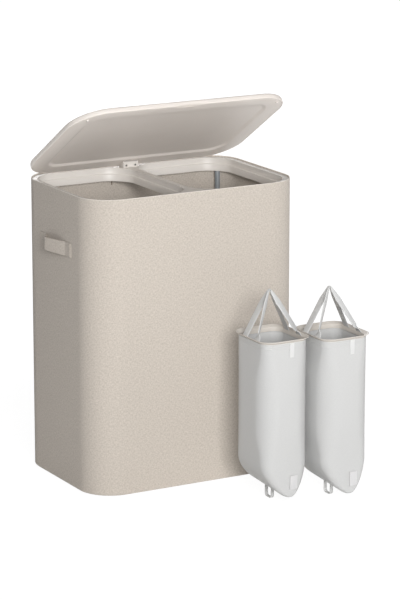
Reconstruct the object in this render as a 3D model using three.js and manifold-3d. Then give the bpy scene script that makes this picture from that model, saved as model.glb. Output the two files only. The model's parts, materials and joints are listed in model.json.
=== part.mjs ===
// A laundry hamper with two bins: a fabric sleeve on four tubes between a moulded top frame and a base frame,
// with a two-shell lid on a rear hinge, and two lift-out liner bags that stand in front of it.
// Lengths are in millimetres. +X is to the right, +Y to the back and +Z up.
// The origin is the middle of the hamper's underside, on the floor.
import * as THREE from "three";
import { mergeVertices } from "three/addons/utils/BufferGeometryUtils.js";
import Module from "manifold-3d";

const wasm = await Module();
wasm.setup();

// Clearances that every piece shares.
const gap = 0.3; // between pieces that touch
const overrun = 6; // how far a cutter passes the face that it cuts

// Counts of facets on round stretches.
const cornerSteps = 8;
const linerSteps = 6;
const roundSides = 24;

// The outside of the hamper, and the fabric that covers it.
const hamper = { width: 520, depth: 360, height: 660, corner: 77 };
const fabric = { wall: 2, foot: 3 };

// The top frame stands a little below the sleeve's hem and has one opening for each bin.
const frame = { recess: 3, rim: 12.5, divider: 13, corner: 64, flange: 3, wall: 1.8, edge: 1.2 };
const skirt = { height: 30, ledge: 3, ledgeDrop: 13, ledgeSlope: 2 };

// Four tubes stand in sockets in the corners of both frames.
const post = { radius: 6, bore: 4.8, socket: 15, socketWall: 1.6 };

// The base frame and the board that lies on it.
const base = { height: 14, band: 18, edge: 2, rib: 14, socketHeight: 34 };
const board = { thickness: 3, edge: 0.8 };

// A carrying loop of folded fabric is sewn to each side.
const handle = { height: 32, thickness: 2.4, tab: 26, span: 98, bulge: 15, drop: 125 };

// The hinge: a housing screwed to a tongue of the top frame, and a pin through the lid's two cheeks.
// Its axis is set in from the hamper's back and stands above the top frame.
const hinge = { back: 20.5, rise: 11, pin: 2.5, barrel: 4.5, halfWidth: 19, length: 19.5, noseRadius: 6 };
const tongue = { halfWidth: 15, setback: 8, thickness: 5, height: 9 };
const screw = { spread: 11.5, rise: 5.6, head: 2.2, shank: 1.3, length: 9, headHeight: 1.6, recess: 1.5 };
const pinEnd = { chamfer: 0.5 };

// The lid is drawn closed, and turned open about the hinge by lidAngle degrees.
const lidAngle = 31.7;
const lid = { sideOverhang: 6, frontOverhang: 1, behind: 7, swell: 3, lift: 0.6, wall: 2.2, lip: 2.5 };
const lidTop = { side: 7.4, round: 5, shoulderRun: 20, shoulderRise: 1.6, crownRun: 35, crownRise: 0.9 };
const lidSkin = { thickness: 2.4, haunch: 5 };
const panel = { recess: 0.4, thickness: 2, flange: 34, step: 9, depth: 5 };
const cheek = { play: 1, width: 5, radius: 4.7, wall: 2.5, reach: 23.5, roof: 0.3 };
const scallop = { width: 100, height: 3, depth: 9 };
const bumper = { radius: 3, edgeGap: 11.5, chamfer: 0.6 };

// One liner bag. Its places are measured from the ridge that its bottom ends in.
const bag = { width: 111, depth: 133, corner: 25, wall: 1.2, top: 373.5, ridgeZ: 26.5 };
const bagCurve = { height: 66, flat: 20, endRadius: 4, power: 1.7, steps: 9, slant: 5.5, skew: 10, tighten: 0.6 };
const rim = { out: 6.2, flare: 5, thickness: 1.5, wall: 1.8, collar: 14, edge: 0.4 };
const tab = { width: 10.5, height: 32, thickness: 1.4, x: 9.4, fold: 0.4 };
const label = { width: 19, height: 31, thickness: 0.9, x: 16, z: 40 };
const strap = { width: 20, thickness: 1.6, spread: 25, length: 112, tip: 5, tipShift: 13, tipWidth: 7, lean: 27.3 };
const strapTwist = { from: 4, to: 16, low: 41, high: 57, narrowFrom: 80 };
const strapLevels = [-20, strapTwist.from, strapTwist.to, 45, 65, strapTwist.narrowFrom, 98];
const loop = { width: 8, thickness: 1.6, spread: 13, radius: 7, floorGap: 0.5, x: 6, y: 18 };

// Where the two liners stand, and how far the second one is from the first.
const linerPlace = { x: 75, ahead: 183, stepX: 127, stepY: -39 };

const linen = new THREE.MeshStandardMaterial({ color: 0xcdc3b7, roughness: 0.95, metalness: 0 });
const moulding = new THREE.MeshStandardMaterial({ color: 0xd0c7be, roughness: 0.5, metalness: 0 });
const tube = new THREE.MeshStandardMaterial({ color: 0x8e9296, roughness: 0.35, metalness: 0.9 });
const steel = new THREE.MeshStandardMaterial({ color: 0x9b9b9b, roughness: 0.3, metalness: 1 });
const rubber = new THREE.MeshStandardMaterial({ color: 0xe6e2dc, roughness: 0.7, metalness: 0 });
const fibreboard = new THREE.MeshStandardMaterial({ color: 0xb9b0a4, roughness: 0.9, metalness: 0 });
const nylon = new THREE.MeshStandardMaterial({ color: 0xdcdcda, roughness: 0.85, metalness: 0 });
const webbing = new THREE.MeshStandardMaterial({ color: 0xe4e4e4, roughness: 0.9, metalness: 0 });
const rimPlastic = new THREE.MeshStandardMaterial({ color: 0xc9c1b8, roughness: 0.55, metalness: 0 });

// A closed geometry as a solid, with its shared corners merged.
function solid(geometry) {
  geometry.deleteAttribute("normal");
  geometry.deleteAttribute("uv");
  const merged = mergeVertices(geometry, 1e-4);
  return new wasm.Manifold(
    new wasm.Mesh({
      numProp: 3,
      vertProperties: new Float32Array(merged.attributes.position.array),
      triVerts: new Uint32Array(merged.index.array),
    }),
  );
}

// A solid as a named mesh in a group.
function addPiece(name, shape, material, group) {
  const { vertProperties, triVerts } = shape.getMesh();
  const geometry = new THREE.BufferGeometry();
  geometry.setAttribute("position", new THREE.BufferAttribute(vertProperties, 3));
  geometry.setIndex(new THREE.BufferAttribute(triVerts, 1));
  geometry.computeVertexNormals();
  const mesh = new THREE.Mesh(geometry, material);
  mesh.name = name;
  group.add(mesh);
  return mesh;
}

// A plan is a rectangle with round corners, about (x, y), with a number of facets to each corner.
function makePlan(width, depth, corner, x = 0, y = 0, steps = cornerSteps) {
  return { width, depth, corner, x, y, steps };
}

// The plan drawn in by an inset all round, as points at height z, anticlockwise from above.
function ring(plan, inset, z) {
  const halfWidth = plan.width / 2 - inset;
  const halfDepth = plan.depth / 2 - inset;
  const radius = Math.min(Math.max(plan.corner - inset, gap), halfWidth, halfDepth);
  const points = [];
  for (let quarter = 0; quarter < 4; quarter++) {
    const sideX = quarter === 0 || quarter === 3 ? 1 : -1;
    const sideY = quarter < 2 ? 1 : -1;
    for (let i = 0; i <= plan.steps; i++) {
      const turn = ((quarter + i / plan.steps) * Math.PI) / 2;
      const x = plan.x + sideX * (halfWidth - radius) + radius * Math.cos(turn);
      const y = plan.y + sideY * (halfDepth - radius) + radius * Math.sin(turn);
      points.push(new THREE.Vector3(x, y, z));
    }
  }
  return points;
}

// The rings of one plan for a profile of [inset, z] pairs.
function rings(plan, profile) {
  return profile.map(([inset, z]) => ring(plan, inset, z));
}

// A solid through the rings, in order up its outside. An open loft is capped at its first and last ring,
// and a closed one joins its last ring to its first.
function loft(levels, closed = false) {
  const count = levels[0].length;
  const corners = levels.flat();
  const faces = [];
  const spans = closed ? levels.length : levels.length - 1;
  for (let i = 0; i < spans; i++) {
    const lower = i * count;
    const upper = ((i + 1) % levels.length) * count;
    for (let j = 0; j < count; j++) {
      const next = (j + 1) % count;
      faces.push(lower + j, lower + next, upper + next);
      faces.push(lower + j, upper + next, upper + j);
    }
  }
  if (!closed) {
    const last = (levels.length - 1) * count;
    const middleOf = (points) =>
      points.reduce((sum, point) => sum.add(point), new THREE.Vector3()).divideScalar(points.length);
    const first = corners.push(middleOf(levels[0])) - 1;
    const top = corners.push(middleOf(levels[levels.length - 1])) - 1;
    for (let j = 0; j < count; j++) {
      const next = (j + 1) % count;
      faces.push(first, next, j, top, last + j, last + next);
    }
  }
  const geometry = new THREE.BufferGeometry().setFromPoints(corners);
  geometry.setIndex(faces);
  return solid(geometry);
}

// Points of a round stretch in a profile, about [inset, z], between two angles in quarters of a turn.
function bend(inset, z, radius, from, to, steps = 4) {
  return Array.from({ length: steps + 1 }, (_, i) => {
    const turn = ((from + ((to - from) * i) / steps) * Math.PI) / 2;
    return [inset + radius * Math.cos(turn), z + radius * Math.sin(turn)];
  });
}

// A flat shape given in (x, y), extruded up from z.
function extrudeUp(shape, z, height) {
  const geometry = new THREE.ExtrudeGeometry(shape, {
    depth: height,
    bevelEnabled: false,
    curveSegments: cornerSteps,
  });
  return solid(geometry.translate(0, 0, z));
}

// A flat shape given in (y, z), extruded along X between two places.
function extrudeAcross(shape, fromX, toX) {
  const geometry = new THREE.ExtrudeGeometry(shape, {
    depth: toX - fromX,
    bevelEnabled: false,
    curveSegments: cornerSteps,
  });
  const turn = new THREE.Matrix4().makeBasis(
    new THREE.Vector3(0, 1, 0),
    new THREE.Vector3(0, 0, 1),
    new THREE.Vector3(1, 0, 0),
  );
  return solid(geometry.applyMatrix4(turn).translate(fromX, 0, 0));
}

// A box between two corners.
function block(low, high) {
  const size = high.map((value, i) => value - low[i]);
  const middle = high.map((value, i) => (value + low[i]) / 2);
  return solid(new THREE.BoxGeometry(...size).translate(...middle));
}

// A body of revolution. The profile is [radius, distance along the axis], from start in the given direction.
function turned(profile, start, direction, sides = roundSides) {
  const points = profile.map(([radius, along]) => new THREE.Vector2(radius, along));
  const geometry = new THREE.LatheGeometry(points, sides);
  const up = new THREE.Vector3(0, 1, 0);
  geometry.applyQuaternion(new THREE.Quaternion().setFromUnitVectors(up, new THREE.Vector3(...direction)));
  return solid(geometry.translate(...start));
}

// A plain round rod, also used as a drill.
function rod(radius, length, start, direction, sides = roundSides) {
  const profile = [
    [0, 0],
    [radius, 0],
    [radius, length],
    [0, length],
  ];
  return turned(profile, start, direction, sides);
}

const alongX = [1, 0, 0];
const alongY = [0, 1, 0];
const alongZ = [0, 0, 1];

const sleevePlan = makePlan(hamper.width, hamper.depth, hamper.corner);
const seat = fabric.wall + gap; // from the outside of the fabric to the frames inside it
const framePlan = makePlan(hamper.width - 2 * seat, hamper.depth - 2 * seat, hamper.corner - seat);
const frameTop = hamper.height - frame.recess;
const frameBottom = frameTop - skirt.height;
const baseBottom = seat;
const baseTop = baseBottom + base.height;

// The hinge's axis, and what lies along it.
const hingeY = hamper.depth / 2 - hinge.back;
const hingeZ = frameTop + hinge.rise;
const hingeFront = hingeY - hinge.length;
const tongueFront = hingeFront + tongue.setback;
const tongueTop = frameTop + tongue.height;
const screwZ = frameTop + screw.rise;

// The middle of each corner tube, on the diagonal of the frame's corner.
const postInset = frame.wall + gap + post.radius;
const postReach = (framePlan.corner - postInset) * Math.SQRT1_2;
const postX = framePlan.width / 2 - framePlan.corner + postReach;
const postY = framePlan.depth / 2 - framePlan.corner + postReach;
const postBottom = baseTop + base.socketHeight - post.socket - base.height + gap;
const postTop = frameBottom + post.socket - gap;
const sides = { left: -1, right: 1 };
const ends = { front: -1, back: 1 };

// The fabric sleeve: a cup with a softly rounded foot, open at the top.
function makeSleeve() {
  const foot = bend(fabric.foot, fabric.foot, fabric.foot, -1, -2);
  const hem = bend(fabric.wall / 2, hamper.height - fabric.wall / 2, fabric.wall / 2, 2, 0);
  return loft(rings(sleevePlan, [...foot, ...hem, [fabric.wall, fabric.wall]]));
}

// One opening of the top frame, as a cutter. A negative grow leaves the wall of its skirt standing.
function makeBinCutter(side, grow) {
  const width = framePlan.width / 2 - frame.rim - frame.divider / 2;
  const x = (side * (width + frame.divider)) / 2;
  const plan = makePlan(width, framePlan.depth - 2 * frame.rim, frame.corner, x);
  const ledgeZ = frameTop - skirt.ledgeDrop;
  return loft(
    rings(plan, [
      [skirt.ledge - grow, frameBottom - overrun],
      [skirt.ledge - grow, ledgeZ - skirt.ledgeSlope],
      [-grow, ledgeZ],
      [-grow, frameTop - frame.edge],
      [-grow - frame.edge, frameTop],
      [-grow - frame.edge, frameTop + overrun],
    ]),
  );
}

// Something made at each of the four corner tubes.
function atPosts(make) {
  Object.values(sides).forEach((side) => {
    Object.values(ends).forEach((end) => make(side * postX, end * postY));
  });
}

// The top frame: a flange with two openings, skirts with a ledge for the liners, a hollow underside with a
// socket in each corner, and the tongue that the hinge housing sits on.
function makeTopFrame() {
  const edge = bend(frame.edge, frameTop - frame.edge, frame.edge, 2, 1, 2);
  const blank = loft(rings(framePlan, [[0, frameBottom], ...edge]));
  let relief = loft(
    rings(framePlan, [
      [frame.wall, frameBottom - overrun],
      [frame.wall, frameTop - frame.flange],
    ]),
  );
  Object.values(sides).forEach((side) => {
    relief = relief.subtract(makeBinCutter(side, frame.wall));
  });
  let shape = blank.subtract(relief);
  const socketRadius = post.radius + gap + post.socketWall;
  atPosts((x, y) => {
    shape = shape.add(rod(socketRadius, skirt.height, [x, y, frameBottom], alongZ).intersect(blank));
  });
  Object.values(sides).forEach((side) => {
    shape = shape.subtract(makeBinCutter(side, 0));
  });
  atPosts((x, y) => {
    const drillStart = [x, y, frameBottom - overrun];
    shape = shape.subtract(rod(post.radius + gap, post.socket + overrun, drillStart, alongZ));
  });
  const tongueBack = tongueFront + tongue.thickness;
  shape = shape.add(
    block(
      [-tongue.halfWidth, tongueFront, frameTop - frame.flange],
      [tongue.halfWidth, tongueBack, tongueTop],
    ),
  );
  Object.values(sides).forEach((side) => {
    const drillStart = [side * screw.spread, tongueFront - overrun, screwZ];
    shape = shape.subtract(rod(screw.shank + gap, tongue.thickness + 2 * overrun, drillStart, alongY));
  });
  return shape;
}

// A corner tube, open at both ends.
function makePost(x, y) {
  const shape = new THREE.Shape().absarc(x, y, post.radius, 0, 2 * Math.PI);
  shape.holes.push(new THREE.Path().absarc(x, y, post.bore, 0, 2 * Math.PI, true));
  return extrudeUp(shape, postBottom, postTop - postBottom);
}

// The base frame: a flat band round the bottom with a rib across the middle and a socket for each tube.
function makeBaseFrame() {
  const outside = [[0, baseBottom], ...bend(base.edge, baseTop - base.edge, base.edge, 2, 1, 2)];
  let shape = loft(rings(framePlan, [...outside, [base.band, baseTop], [base.band, baseBottom]]), true);
  const ribReach = framePlan.depth / 2 - base.band / 2;
  shape = shape.add(block([-base.rib / 2, -ribReach, baseBottom], [base.rib / 2, ribReach, baseTop]));
  const blank = loft(
    rings(framePlan, [
      [0, baseBottom],
      [0, baseBottom + base.socketHeight],
    ]),
  );
  const socketRadius = post.radius + gap + post.socketWall;
  atPosts((x, y) => {
    shape = shape.add(rod(socketRadius, base.socketHeight, [x, y, baseBottom], alongZ).intersect(blank));
  });
  atPosts((x, y) => {
    shape = shape.subtract(rod(post.radius + gap, base.socketHeight, [x, y, postBottom - gap], alongZ));
  });
  return shape;
}

// The stiff board that floors both bins, cut away round the sockets.
function makeBaseBoard() {
  const low = baseTop + gap;
  const high = low + board.thickness;
  let shape = loft(
    rings(framePlan, [
      [board.edge, low],
      [gap, low + board.edge],
      [gap, high - board.edge],
      [board.edge, high],
    ]),
  );
  const clear = post.radius + gap + post.socketWall + gap;
  atPosts((x, y) => {
    shape = shape.subtract(rod(clear, board.thickness + 2 * overrun, [x, y, low - overrun], alongZ));
  });
  return shape;
}

// A fabric handle on one side: flat tabs at both ends and a bulge that leaves room for the fingers.
function makeHandle(side) {
  const near = hamper.width / 2 + gap;
  const far = near + handle.thickness;
  const half = handle.span / 2;
  const end = half + handle.tab;
  const swell = half / 2;
  const shape = new THREE.Shape();
  shape.moveTo(near, -end);
  shape.lineTo(near, -half);
  shape.bezierCurveTo(near, -swell, near + handle.bulge, -swell, near + handle.bulge, 0);
  shape.bezierCurveTo(near + handle.bulge, swell, near, swell, near, half);
  shape.lineTo(near, end);
  shape.lineTo(far, end);
  shape.lineTo(far, half);
  shape.bezierCurveTo(far, swell, far + handle.bulge, swell, far + handle.bulge, 0);
  shape.bezierCurveTo(far + handle.bulge, -swell, far, -swell, far, -half);
  shape.lineTo(far, -end);
  const low = hamper.height - handle.drop - handle.height / 2;
  const right = extrudeUp(shape, low, handle.height);
  return side > 0 ? right : right.mirror([1, 0, 0]);
}

// The hinge housing: a block with a round nose, a barrel for the pin, a pocket for the frame's tongue and two
// countersunk screw holes low on its front.
function makeHinge() {
  const low = frameTop + gap;
  const high = hingeZ + hinge.barrel;
  const nose = hinge.noseRadius;
  const profile = new THREE.Shape();
  profile.moveTo(hingeFront, low);
  profile.lineTo(hingeFront, high - nose);
  profile.absarc(hingeFront + nose, high - nose, nose, Math.PI, Math.PI / 2, true);
  profile.absarc(hingeY, hingeZ, hinge.barrel, Math.PI / 2, 0, true);
  profile.lineTo(hingeY + hinge.barrel, low);
  let shape = extrudeAcross(profile, -hinge.halfWidth, hinge.halfWidth);
  const reach = hinge.halfWidth + overrun;
  shape = shape.subtract(rod(hinge.pin + gap, 2 * reach, [-reach, hingeY, hingeZ], alongX));
  shape = shape.subtract(
    block(
      [-tongue.halfWidth - gap, tongueFront - gap, low - overrun],
      [tongue.halfWidth + gap, tongueFront + tongue.thickness + gap, tongueTop + gap],
    ),
  );
  Object.values(sides).forEach((side) => {
    const start = [side * screw.spread, hingeFront - overrun, screwZ];
    const recess = overrun + screw.recess + screw.headHeight + gap;
    shape = shape.subtract(rod(screw.head + gap, recess, start, alongY));
    shape = shape.subtract(rod(screw.shank + gap, overrun + tongueFront - hingeFront, start, alongY));
  });
  return shape;
}

// The pin, with its ends chamfered, reaching through both cheeks of the lid.
function makePin() {
  const half = hinge.halfWidth + cheek.play + cheek.width - gap;
  const profile = [
    [0, 0],
    [hinge.pin - pinEnd.chamfer, 0],
    [hinge.pin, pinEnd.chamfer],
    [hinge.pin, 2 * half - pinEnd.chamfer],
    [hinge.pin - pinEnd.chamfer, 2 * half],
    [0, 2 * half],
  ];
  return turned(profile, [-half, hingeY, hingeZ], alongX);
}

// A countersunk screw that holds the housing to the tongue.
function makeScrew(side) {
  const profile = [
    [0, 0],
    [screw.head, 0],
    [screw.head, screw.headHeight],
    [screw.shank, screw.headHeight],
    [screw.shank, screw.length],
    [0, screw.length],
  ];
  return turned(profile, [side * screw.spread, hingeFront + screw.recess, screwZ], alongY);
}

// The lid's plan and levels, drawn closed.
const lidFront = -hamper.depth / 2 - lid.frontOverhang;
const lidRear = hingeY + lid.behind;
const lidWidth = hamper.width + 2 * lid.sideOverhang;
const lidCorner = hamper.corner + lid.swell;
const lidPlan = makePlan(lidWidth, lidRear - lidFront, lidCorner, 0, (lidRear + lidFront) / 2);
const lidLow = hamper.height + lid.lift;
const lidEdge = lidLow + lidTop.side + lidTop.round;
const lidShoulder = lidEdge + lidTop.shoulderRise;
const lidCrown = lidShoulder + lidTop.crownRise;
const panelLow = lidLow + panel.recess;
const cheekHalf = hinge.halfWidth + cheek.play;
const cheekFront = hingeY - cheek.reach - cheek.wall;
const cheekTop = hingeZ + cheek.radius;

// The scallop under the front edge that fingers lift the lid by.
function makeScallop() {
  const radius = (scallop.width ** 2 / 4 + scallop.height ** 2) / (2 * scallop.height);
  const start = [0, lidFront - overrun, lidLow + scallop.height - radius];
  return rod(radius, scallop.depth + overrun, start, alongY, roundSides * cornerSteps);
}

// The lid's outer shell: a shallow tray turned over, with a crowned top, and a slot at the rear for the hinge.
function makeLidShell() {
  const { haunch, thickness } = lidSkin;
  const underEdge = lidEdge - thickness;
  const inside = [
    [lidTop.shoulderRun + lidTop.crownRun, lidCrown - thickness],
    [lidTop.round + lidTop.shoulderRun, lidShoulder - thickness],
    [lid.wall + haunch, underEdge],
    [lid.wall, underEdge - haunch / 2],
    [lid.wall, lidLow],
  ];
  const lip = bend(lid.lip, lidLow + lid.lip, lid.lip, -1, -2, 3);
  const shoulder = bend(lidTop.round, lidLow + lidTop.side, lidTop.round, 2, 1);
  const crown = [
    [lidTop.round + lidTop.shoulderRun, lidShoulder],
    [lidTop.shoulderRun + lidTop.crownRun, lidCrown],
  ];
  const shape = loft(rings(lidPlan, [...inside, ...lip, ...shoulder, ...crown]));
  const slot = block(
    [-cheekHalf - cheek.width - gap, cheekFront - gap, lidLow - overrun],
    [cheekHalf + cheek.width + gap, lidRear + overrun, cheekTop + cheek.roof],
  );
  return shape.subtract(slot).subtract(makeScallop());
}

// The lid's inner panel: a flat flange, a soft step up to a recessed field, and the hinge cheeks at its rear.
function makeLidPanel() {
  const inset = lid.wall + gap;
  const halfStep = panel.step / 2;
  const stepAt = inset + panel.flange + halfStep;
  // The step is a smooth rise from the flange to the field, given by how far along and how far up it is.
  const riseShares = [0, 0.25, 0.5, 0.75, 1];
  const step = riseShares.map((share) => {
    const run = stepAt - halfStep + panel.step * share;
    return [run, (panel.depth * (1 - Math.cos(Math.PI * share))) / 2];
  });
  const under = step.map(([run, rise]) => [run, panelLow + rise]).reverse();
  const over = step.map(([run, rise]) => [run, panelLow + panel.thickness + rise]);
  const sideWall = [
    [inset, panelLow],
    [inset, panelLow + panel.thickness],
  ];
  let shape = loft(rings(lidPlan, [...under, ...sideWall, ...over]));
  const width = cheekHalf + cheek.width;
  const rear = lidRear + overrun;
  shape = shape.subtract(
    block([-width - gap, hingeY, panelLow - overrun], [width + gap, rear, panelLow + panel.depth + overrun]),
  );
  shape = shape.subtract(
    block([-cheekHalf, cheekFront + cheek.wall, panelLow - overrun], [cheekHalf, rear, cheekTop + overrun]),
  );
  const profile = new THREE.Shape();
  profile.moveTo(cheekFront, panelLow);
  profile.lineTo(cheekFront, cheekTop);
  profile.absarc(hingeY, hingeZ, cheek.radius, Math.PI / 2, 0, true);
  profile.quadraticCurveTo(hingeY + cheek.radius, panelLow, hingeY, panelLow);
  Object.values(sides).forEach((side) => {
    const inner = side * cheekHalf;
    const outer = side * width;
    shape = shape.add(extrudeAcross(profile, Math.min(inner, outer), Math.max(inner, outer)));
  });
  shape = shape.add(block([-width, cheekFront, panelLow], [width, cheekFront + cheek.wall, cheekTop]));
  const bore = rod(hinge.pin + gap, 2 * (width + overrun), [-width - overrun, hingeY, hingeZ], alongX);
  return shape.subtract(bore).subtract(makeScallop());
}

// A soft bumper under one front corner of the lid, over the frame's rim.
function makeBumper(side) {
  const reach = (lidCorner - bumper.edgeGap) * Math.SQRT1_2;
  const x = side * (lidWidth / 2 - lidCorner + reach);
  const y = lidFront + lidCorner - reach;
  const low = frameTop + gap;
  const height = panelLow - gap - low;
  const profile = [
    [0, 0],
    [bumper.radius - bumper.chamfer, 0],
    [bumper.radius, bumper.chamfer],
    [bumper.radius, height],
    [0, height],
  ];
  return turned(profile, [x, y, low], alongZ);
}

const ridgeEnd = bagCurve.endRadius;
const bagTop = bag.top - rim.flare - rim.thickness - gap;
const flangeIn = rim.out + bag.wall + gap + rim.wall; // from the rim's outside to the inside of its collar
const flangeLow = bag.top - rim.flare; // the height of the flange where it meets the collar

// The plan of a liner's piece about the liner's middle.
function linerPlan(width, depth, corner, centre) {
  return makePlan(width, depth, corner, centre.x, centre.y, linerSteps);
}

// One ring of a liner at a share of a quarter turn up its drawn-in foot, drawn in by an inset. The ridge that it
// starts from leans to one side, and slants down to the front.
function bagRing(centre, turn, inset) {
  const power = 2 / bagCurve.power;
  const halfWidth = (bag.width / 2) * Math.sin(turn) ** power;
  const startTurn = Math.asin((bagCurve.flat / bag.width) ** (1 / power));
  const whole = bagCurve.height * Math.cos(startTurn) ** power;
  const rise = whole - bagCurve.height * Math.max(Math.cos(turn), 0) ** power;
  const share = 1 - rise / whole;
  const round = Math.min(rise / ridgeEnd, 1);
  const halfDepth = bag.depth / 2 - ridgeEnd + ridgeEnd * Math.sqrt(1 - (1 - round) ** 2);
  const corner = Math.min(bag.corner * (1 - bagCurve.tighten * share), halfWidth);
  const middle = { x: centre.x + bagCurve.skew * share ** 2, y: centre.y };
  const points = ring(linerPlan(2 * halfWidth, 2 * halfDepth, corner, middle), inset, bag.ridgeZ + rise + inset);
  return points.map((point) => point.setZ(point.z + ridgeSlant(point.y - centre.y) * share));
}

// How far above its middle the ridge is at a place along it.
function ridgeSlant(y) {
  return (bagCurve.slant * y) / (bag.depth / 2);
}

// A liner's fabric body: a hollow bag, square at the mouth and drawn in to a blunt ridge from front to back.
function makeBagBody(centre) {
  const startTurn = Math.asin((bagCurve.flat / bag.width) ** (bagCurve.power / 2));
  const turns = Array.from({ length: bagCurve.steps + 1 }, (_, i) => {
    return startTurn + (i / bagCurve.steps) * (Math.PI / 2 - startTurn);
  });
  const mouth = linerPlan(bag.width, bag.depth, bag.corner, centre);
  const outside = turns.map((turn) => bagRing(centre, turn, 0));
  const inside = turns.map((turn) => bagRing(centre, turn, bag.wall)).reverse();
  return loft([...outside, ring(mouth, 0, bagTop), ring(mouth, bag.wall, bagTop), ...inside]);
}

// A liner's rim: a collar inside the mouth, and a thin flange over it that flares up to the outside.
function makeRim(centre) {
  const plan = linerPlan(bag.width + 2 * rim.out, bag.depth + 2 * rim.out, bag.corner + rim.out, centre);
  const collarOut = flangeIn - rim.wall;
  const profile = [
    [flangeIn, bag.top - rim.collar],
    [collarOut, bag.top - rim.collar],
    [collarOut, flangeLow - rim.thickness],
    [rim.edge, bag.top - rim.thickness],
    [0, bag.top - rim.thickness + rim.edge],
    [0, bag.top - rim.edge],
    [rim.edge, bag.top],
    [flangeIn, flangeLow],
  ];
  return loft(rings(plan, profile), true);
}

// A flat piece sewn on the liner's front, given by its middle, foot, size and thickness.
function makeFrontPatch(centre, patch, low) {
  const face = centre.y - bag.depth / 2 - gap;
  const left = centre.x + patch.x - patch.width / 2;
  return block([left, face - patch.thickness, low], [left + patch.width, face, low + patch.height]);
}

// A loop of tape under the ridge, which the liner is tipped out by.
function makeBottomLoop(centre) {
  const low = loop.floorGap + loop.radius;
  const middle = centre.y + loop.y;
  const half = loop.spread / 2;
  const outer = loop.radius;
  const inner = outer - loop.thickness;
  const highAt = (y) => bag.ridgeZ + ridgeSlant(loop.y + y) - gap;
  const shape = new THREE.Shape();
  shape.moveTo(middle - half - outer, highAt(-half - outer));
  shape.lineTo(middle - half - outer, low);
  shape.absarc(middle - half, low, outer, Math.PI, 1.5 * Math.PI, false);
  shape.absarc(middle + half, low, outer, 1.5 * Math.PI, 2 * Math.PI, false);
  shape.lineTo(middle + half + outer, highAt(half + outer));
  shape.lineTo(middle + half + inner, highAt(half + inner));
  shape.absarc(middle + half, low, inner, 0, -Math.PI / 2, true);
  shape.absarc(middle - half, low, inner, 1.5 * Math.PI, Math.PI, true);
  shape.lineTo(middle - half - inner, highAt(-half - inner));
  const left = centre.x + loop.x - loop.width / 2;
  return extrudeAcross(shape, left, left + loop.width);
}

// How far a leg of tape has turned about its middle line at a height, in radians.
function twistAt(z) {
  const { from, to, low, high } = strapTwist;
  const start = Math.min(Math.max((z - from) / (to - from), 0), 1);
  return THREE.MathUtils.degToRad(start * (low + ((high - low) * z) / strap.length));
}

// One leg of a strap, from its sewn foot to the strap's tip: a tape that narrows near the tip, and may twist.
function makeLeg(footY, tipY, twists) {
  const tipZ = strap.length - strap.tip;
  const along = new THREE.Vector3(0, tipY - footY, tipZ).normalize();
  const flat = new THREE.Vector3(0, along.z, -along.y);
  const levels = [...strapLevels, tipZ].map((z) => {
    const share = z / tipZ;
    const twist = twists ? twistAt(z) : 0;
    const across = flat.clone().multiplyScalar(Math.cos(twist)).add(new THREE.Vector3(Math.sin(twist), 0, 0));
    const facing = across.clone().cross(along);
    const narrowing = Math.min(Math.max((z - strapTwist.narrowFrom) / (tipZ - strapTwist.narrowFrom), 0), 1);
    across.multiplyScalar((strap.width - (strap.width - strap.tipWidth) * narrowing) / 2);
    facing.multiplyScalar(strap.thickness / 2);
    const middle = new THREE.Vector3(0, footY + (tipY - footY) * share, z);
    return [
      middle.clone().add(facing).add(across),
      middle.clone().sub(facing).add(across),
      middle.clone().sub(facing).sub(across),
      middle.clone().add(facing).sub(across),
    ];
  });
  return loft(levels);
}

// A carrying strap, drawn upright in the plane of its hinge: two legs that meet in a narrow fold.
function makeStrap() {
  const legTip = strap.tip - strap.tipWidth / 2;
  const back = makeLeg(strap.spread, strap.tipShift + legTip, false);
  const front = makeLeg(-strap.spread, strap.tipShift - legTip, true);
  const fold = [-strap.thickness / 2, strap.tipShift, strap.length - strap.tip];
  const shape = back.add(front).add(rod(strap.tip, strap.thickness, fold, alongX));
  const reach = strap.spread + strap.width;
  return shape.subtract(block([-reach, -reach, -reach], [reach, reach, 0]));
}

// One liner with everything sewn to it, and its two straps leaning together over the mouth.
function addLiner(name, centre, group) {
  addPiece(`${name}_rim`, makeRim(centre), rimPlastic, group);
  addPiece(`${name}_body`, makeBagBody(centre), nylon, group);
  addPiece(`${name}_pull_tab`, makeFrontPatch(centre, tab, bagTop - tab.height - tab.fold), webbing, group);
  addPiece(`${name}_label`, makeFrontPatch(centre, label, label.z), webbing, group);
  addPiece(`${name}_bottom_loop`, makeBottomLoop(centre), webbing, group);
  Object.entries(sides).forEach(([sideName, side]) => {
    const hingeX = centre.x + side * (bag.width / 2 + rim.out - flangeIn);
    const turnGroup = new THREE.Group();
    turnGroup.position.set(hingeX, centre.y, flangeLow + gap + strap.thickness / 2);
    turnGroup.rotation.y = THREE.MathUtils.degToRad(-side * strap.lean);
    addPiece(`${name}_strap_${sideName}`, makeStrap(), webbing, turnGroup);
    group.add(turnGroup);
  });
}

const hamperGroup = new THREE.Group();
hamperGroup.name = "laundry_hamper";

addPiece("outer_sleeve", makeSleeve(), linen, hamperGroup);
addPiece("top_frame", makeTopFrame(), moulding, hamperGroup);
addPiece("base_frame", makeBaseFrame(), moulding, hamperGroup);
addPiece("base_board", makeBaseBoard(), fibreboard, hamperGroup);
addPiece("hinge_housing", makeHinge(), moulding, hamperGroup);
addPiece("hinge_pin", makePin(), steel, hamperGroup);
Object.entries(sides).forEach(([sideName, side]) => {
  addPiece(`side_handle_${sideName}`, makeHandle(side), linen, hamperGroup);
  addPiece(`hinge_screw_${sideName}`, makeScrew(side), steel, hamperGroup);
  Object.entries(ends).forEach(([endName, end]) => {
    addPiece(`post_${endName}_${sideName}`, makePost(side * postX, end * postY), tube, hamperGroup);
  });
});

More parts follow.
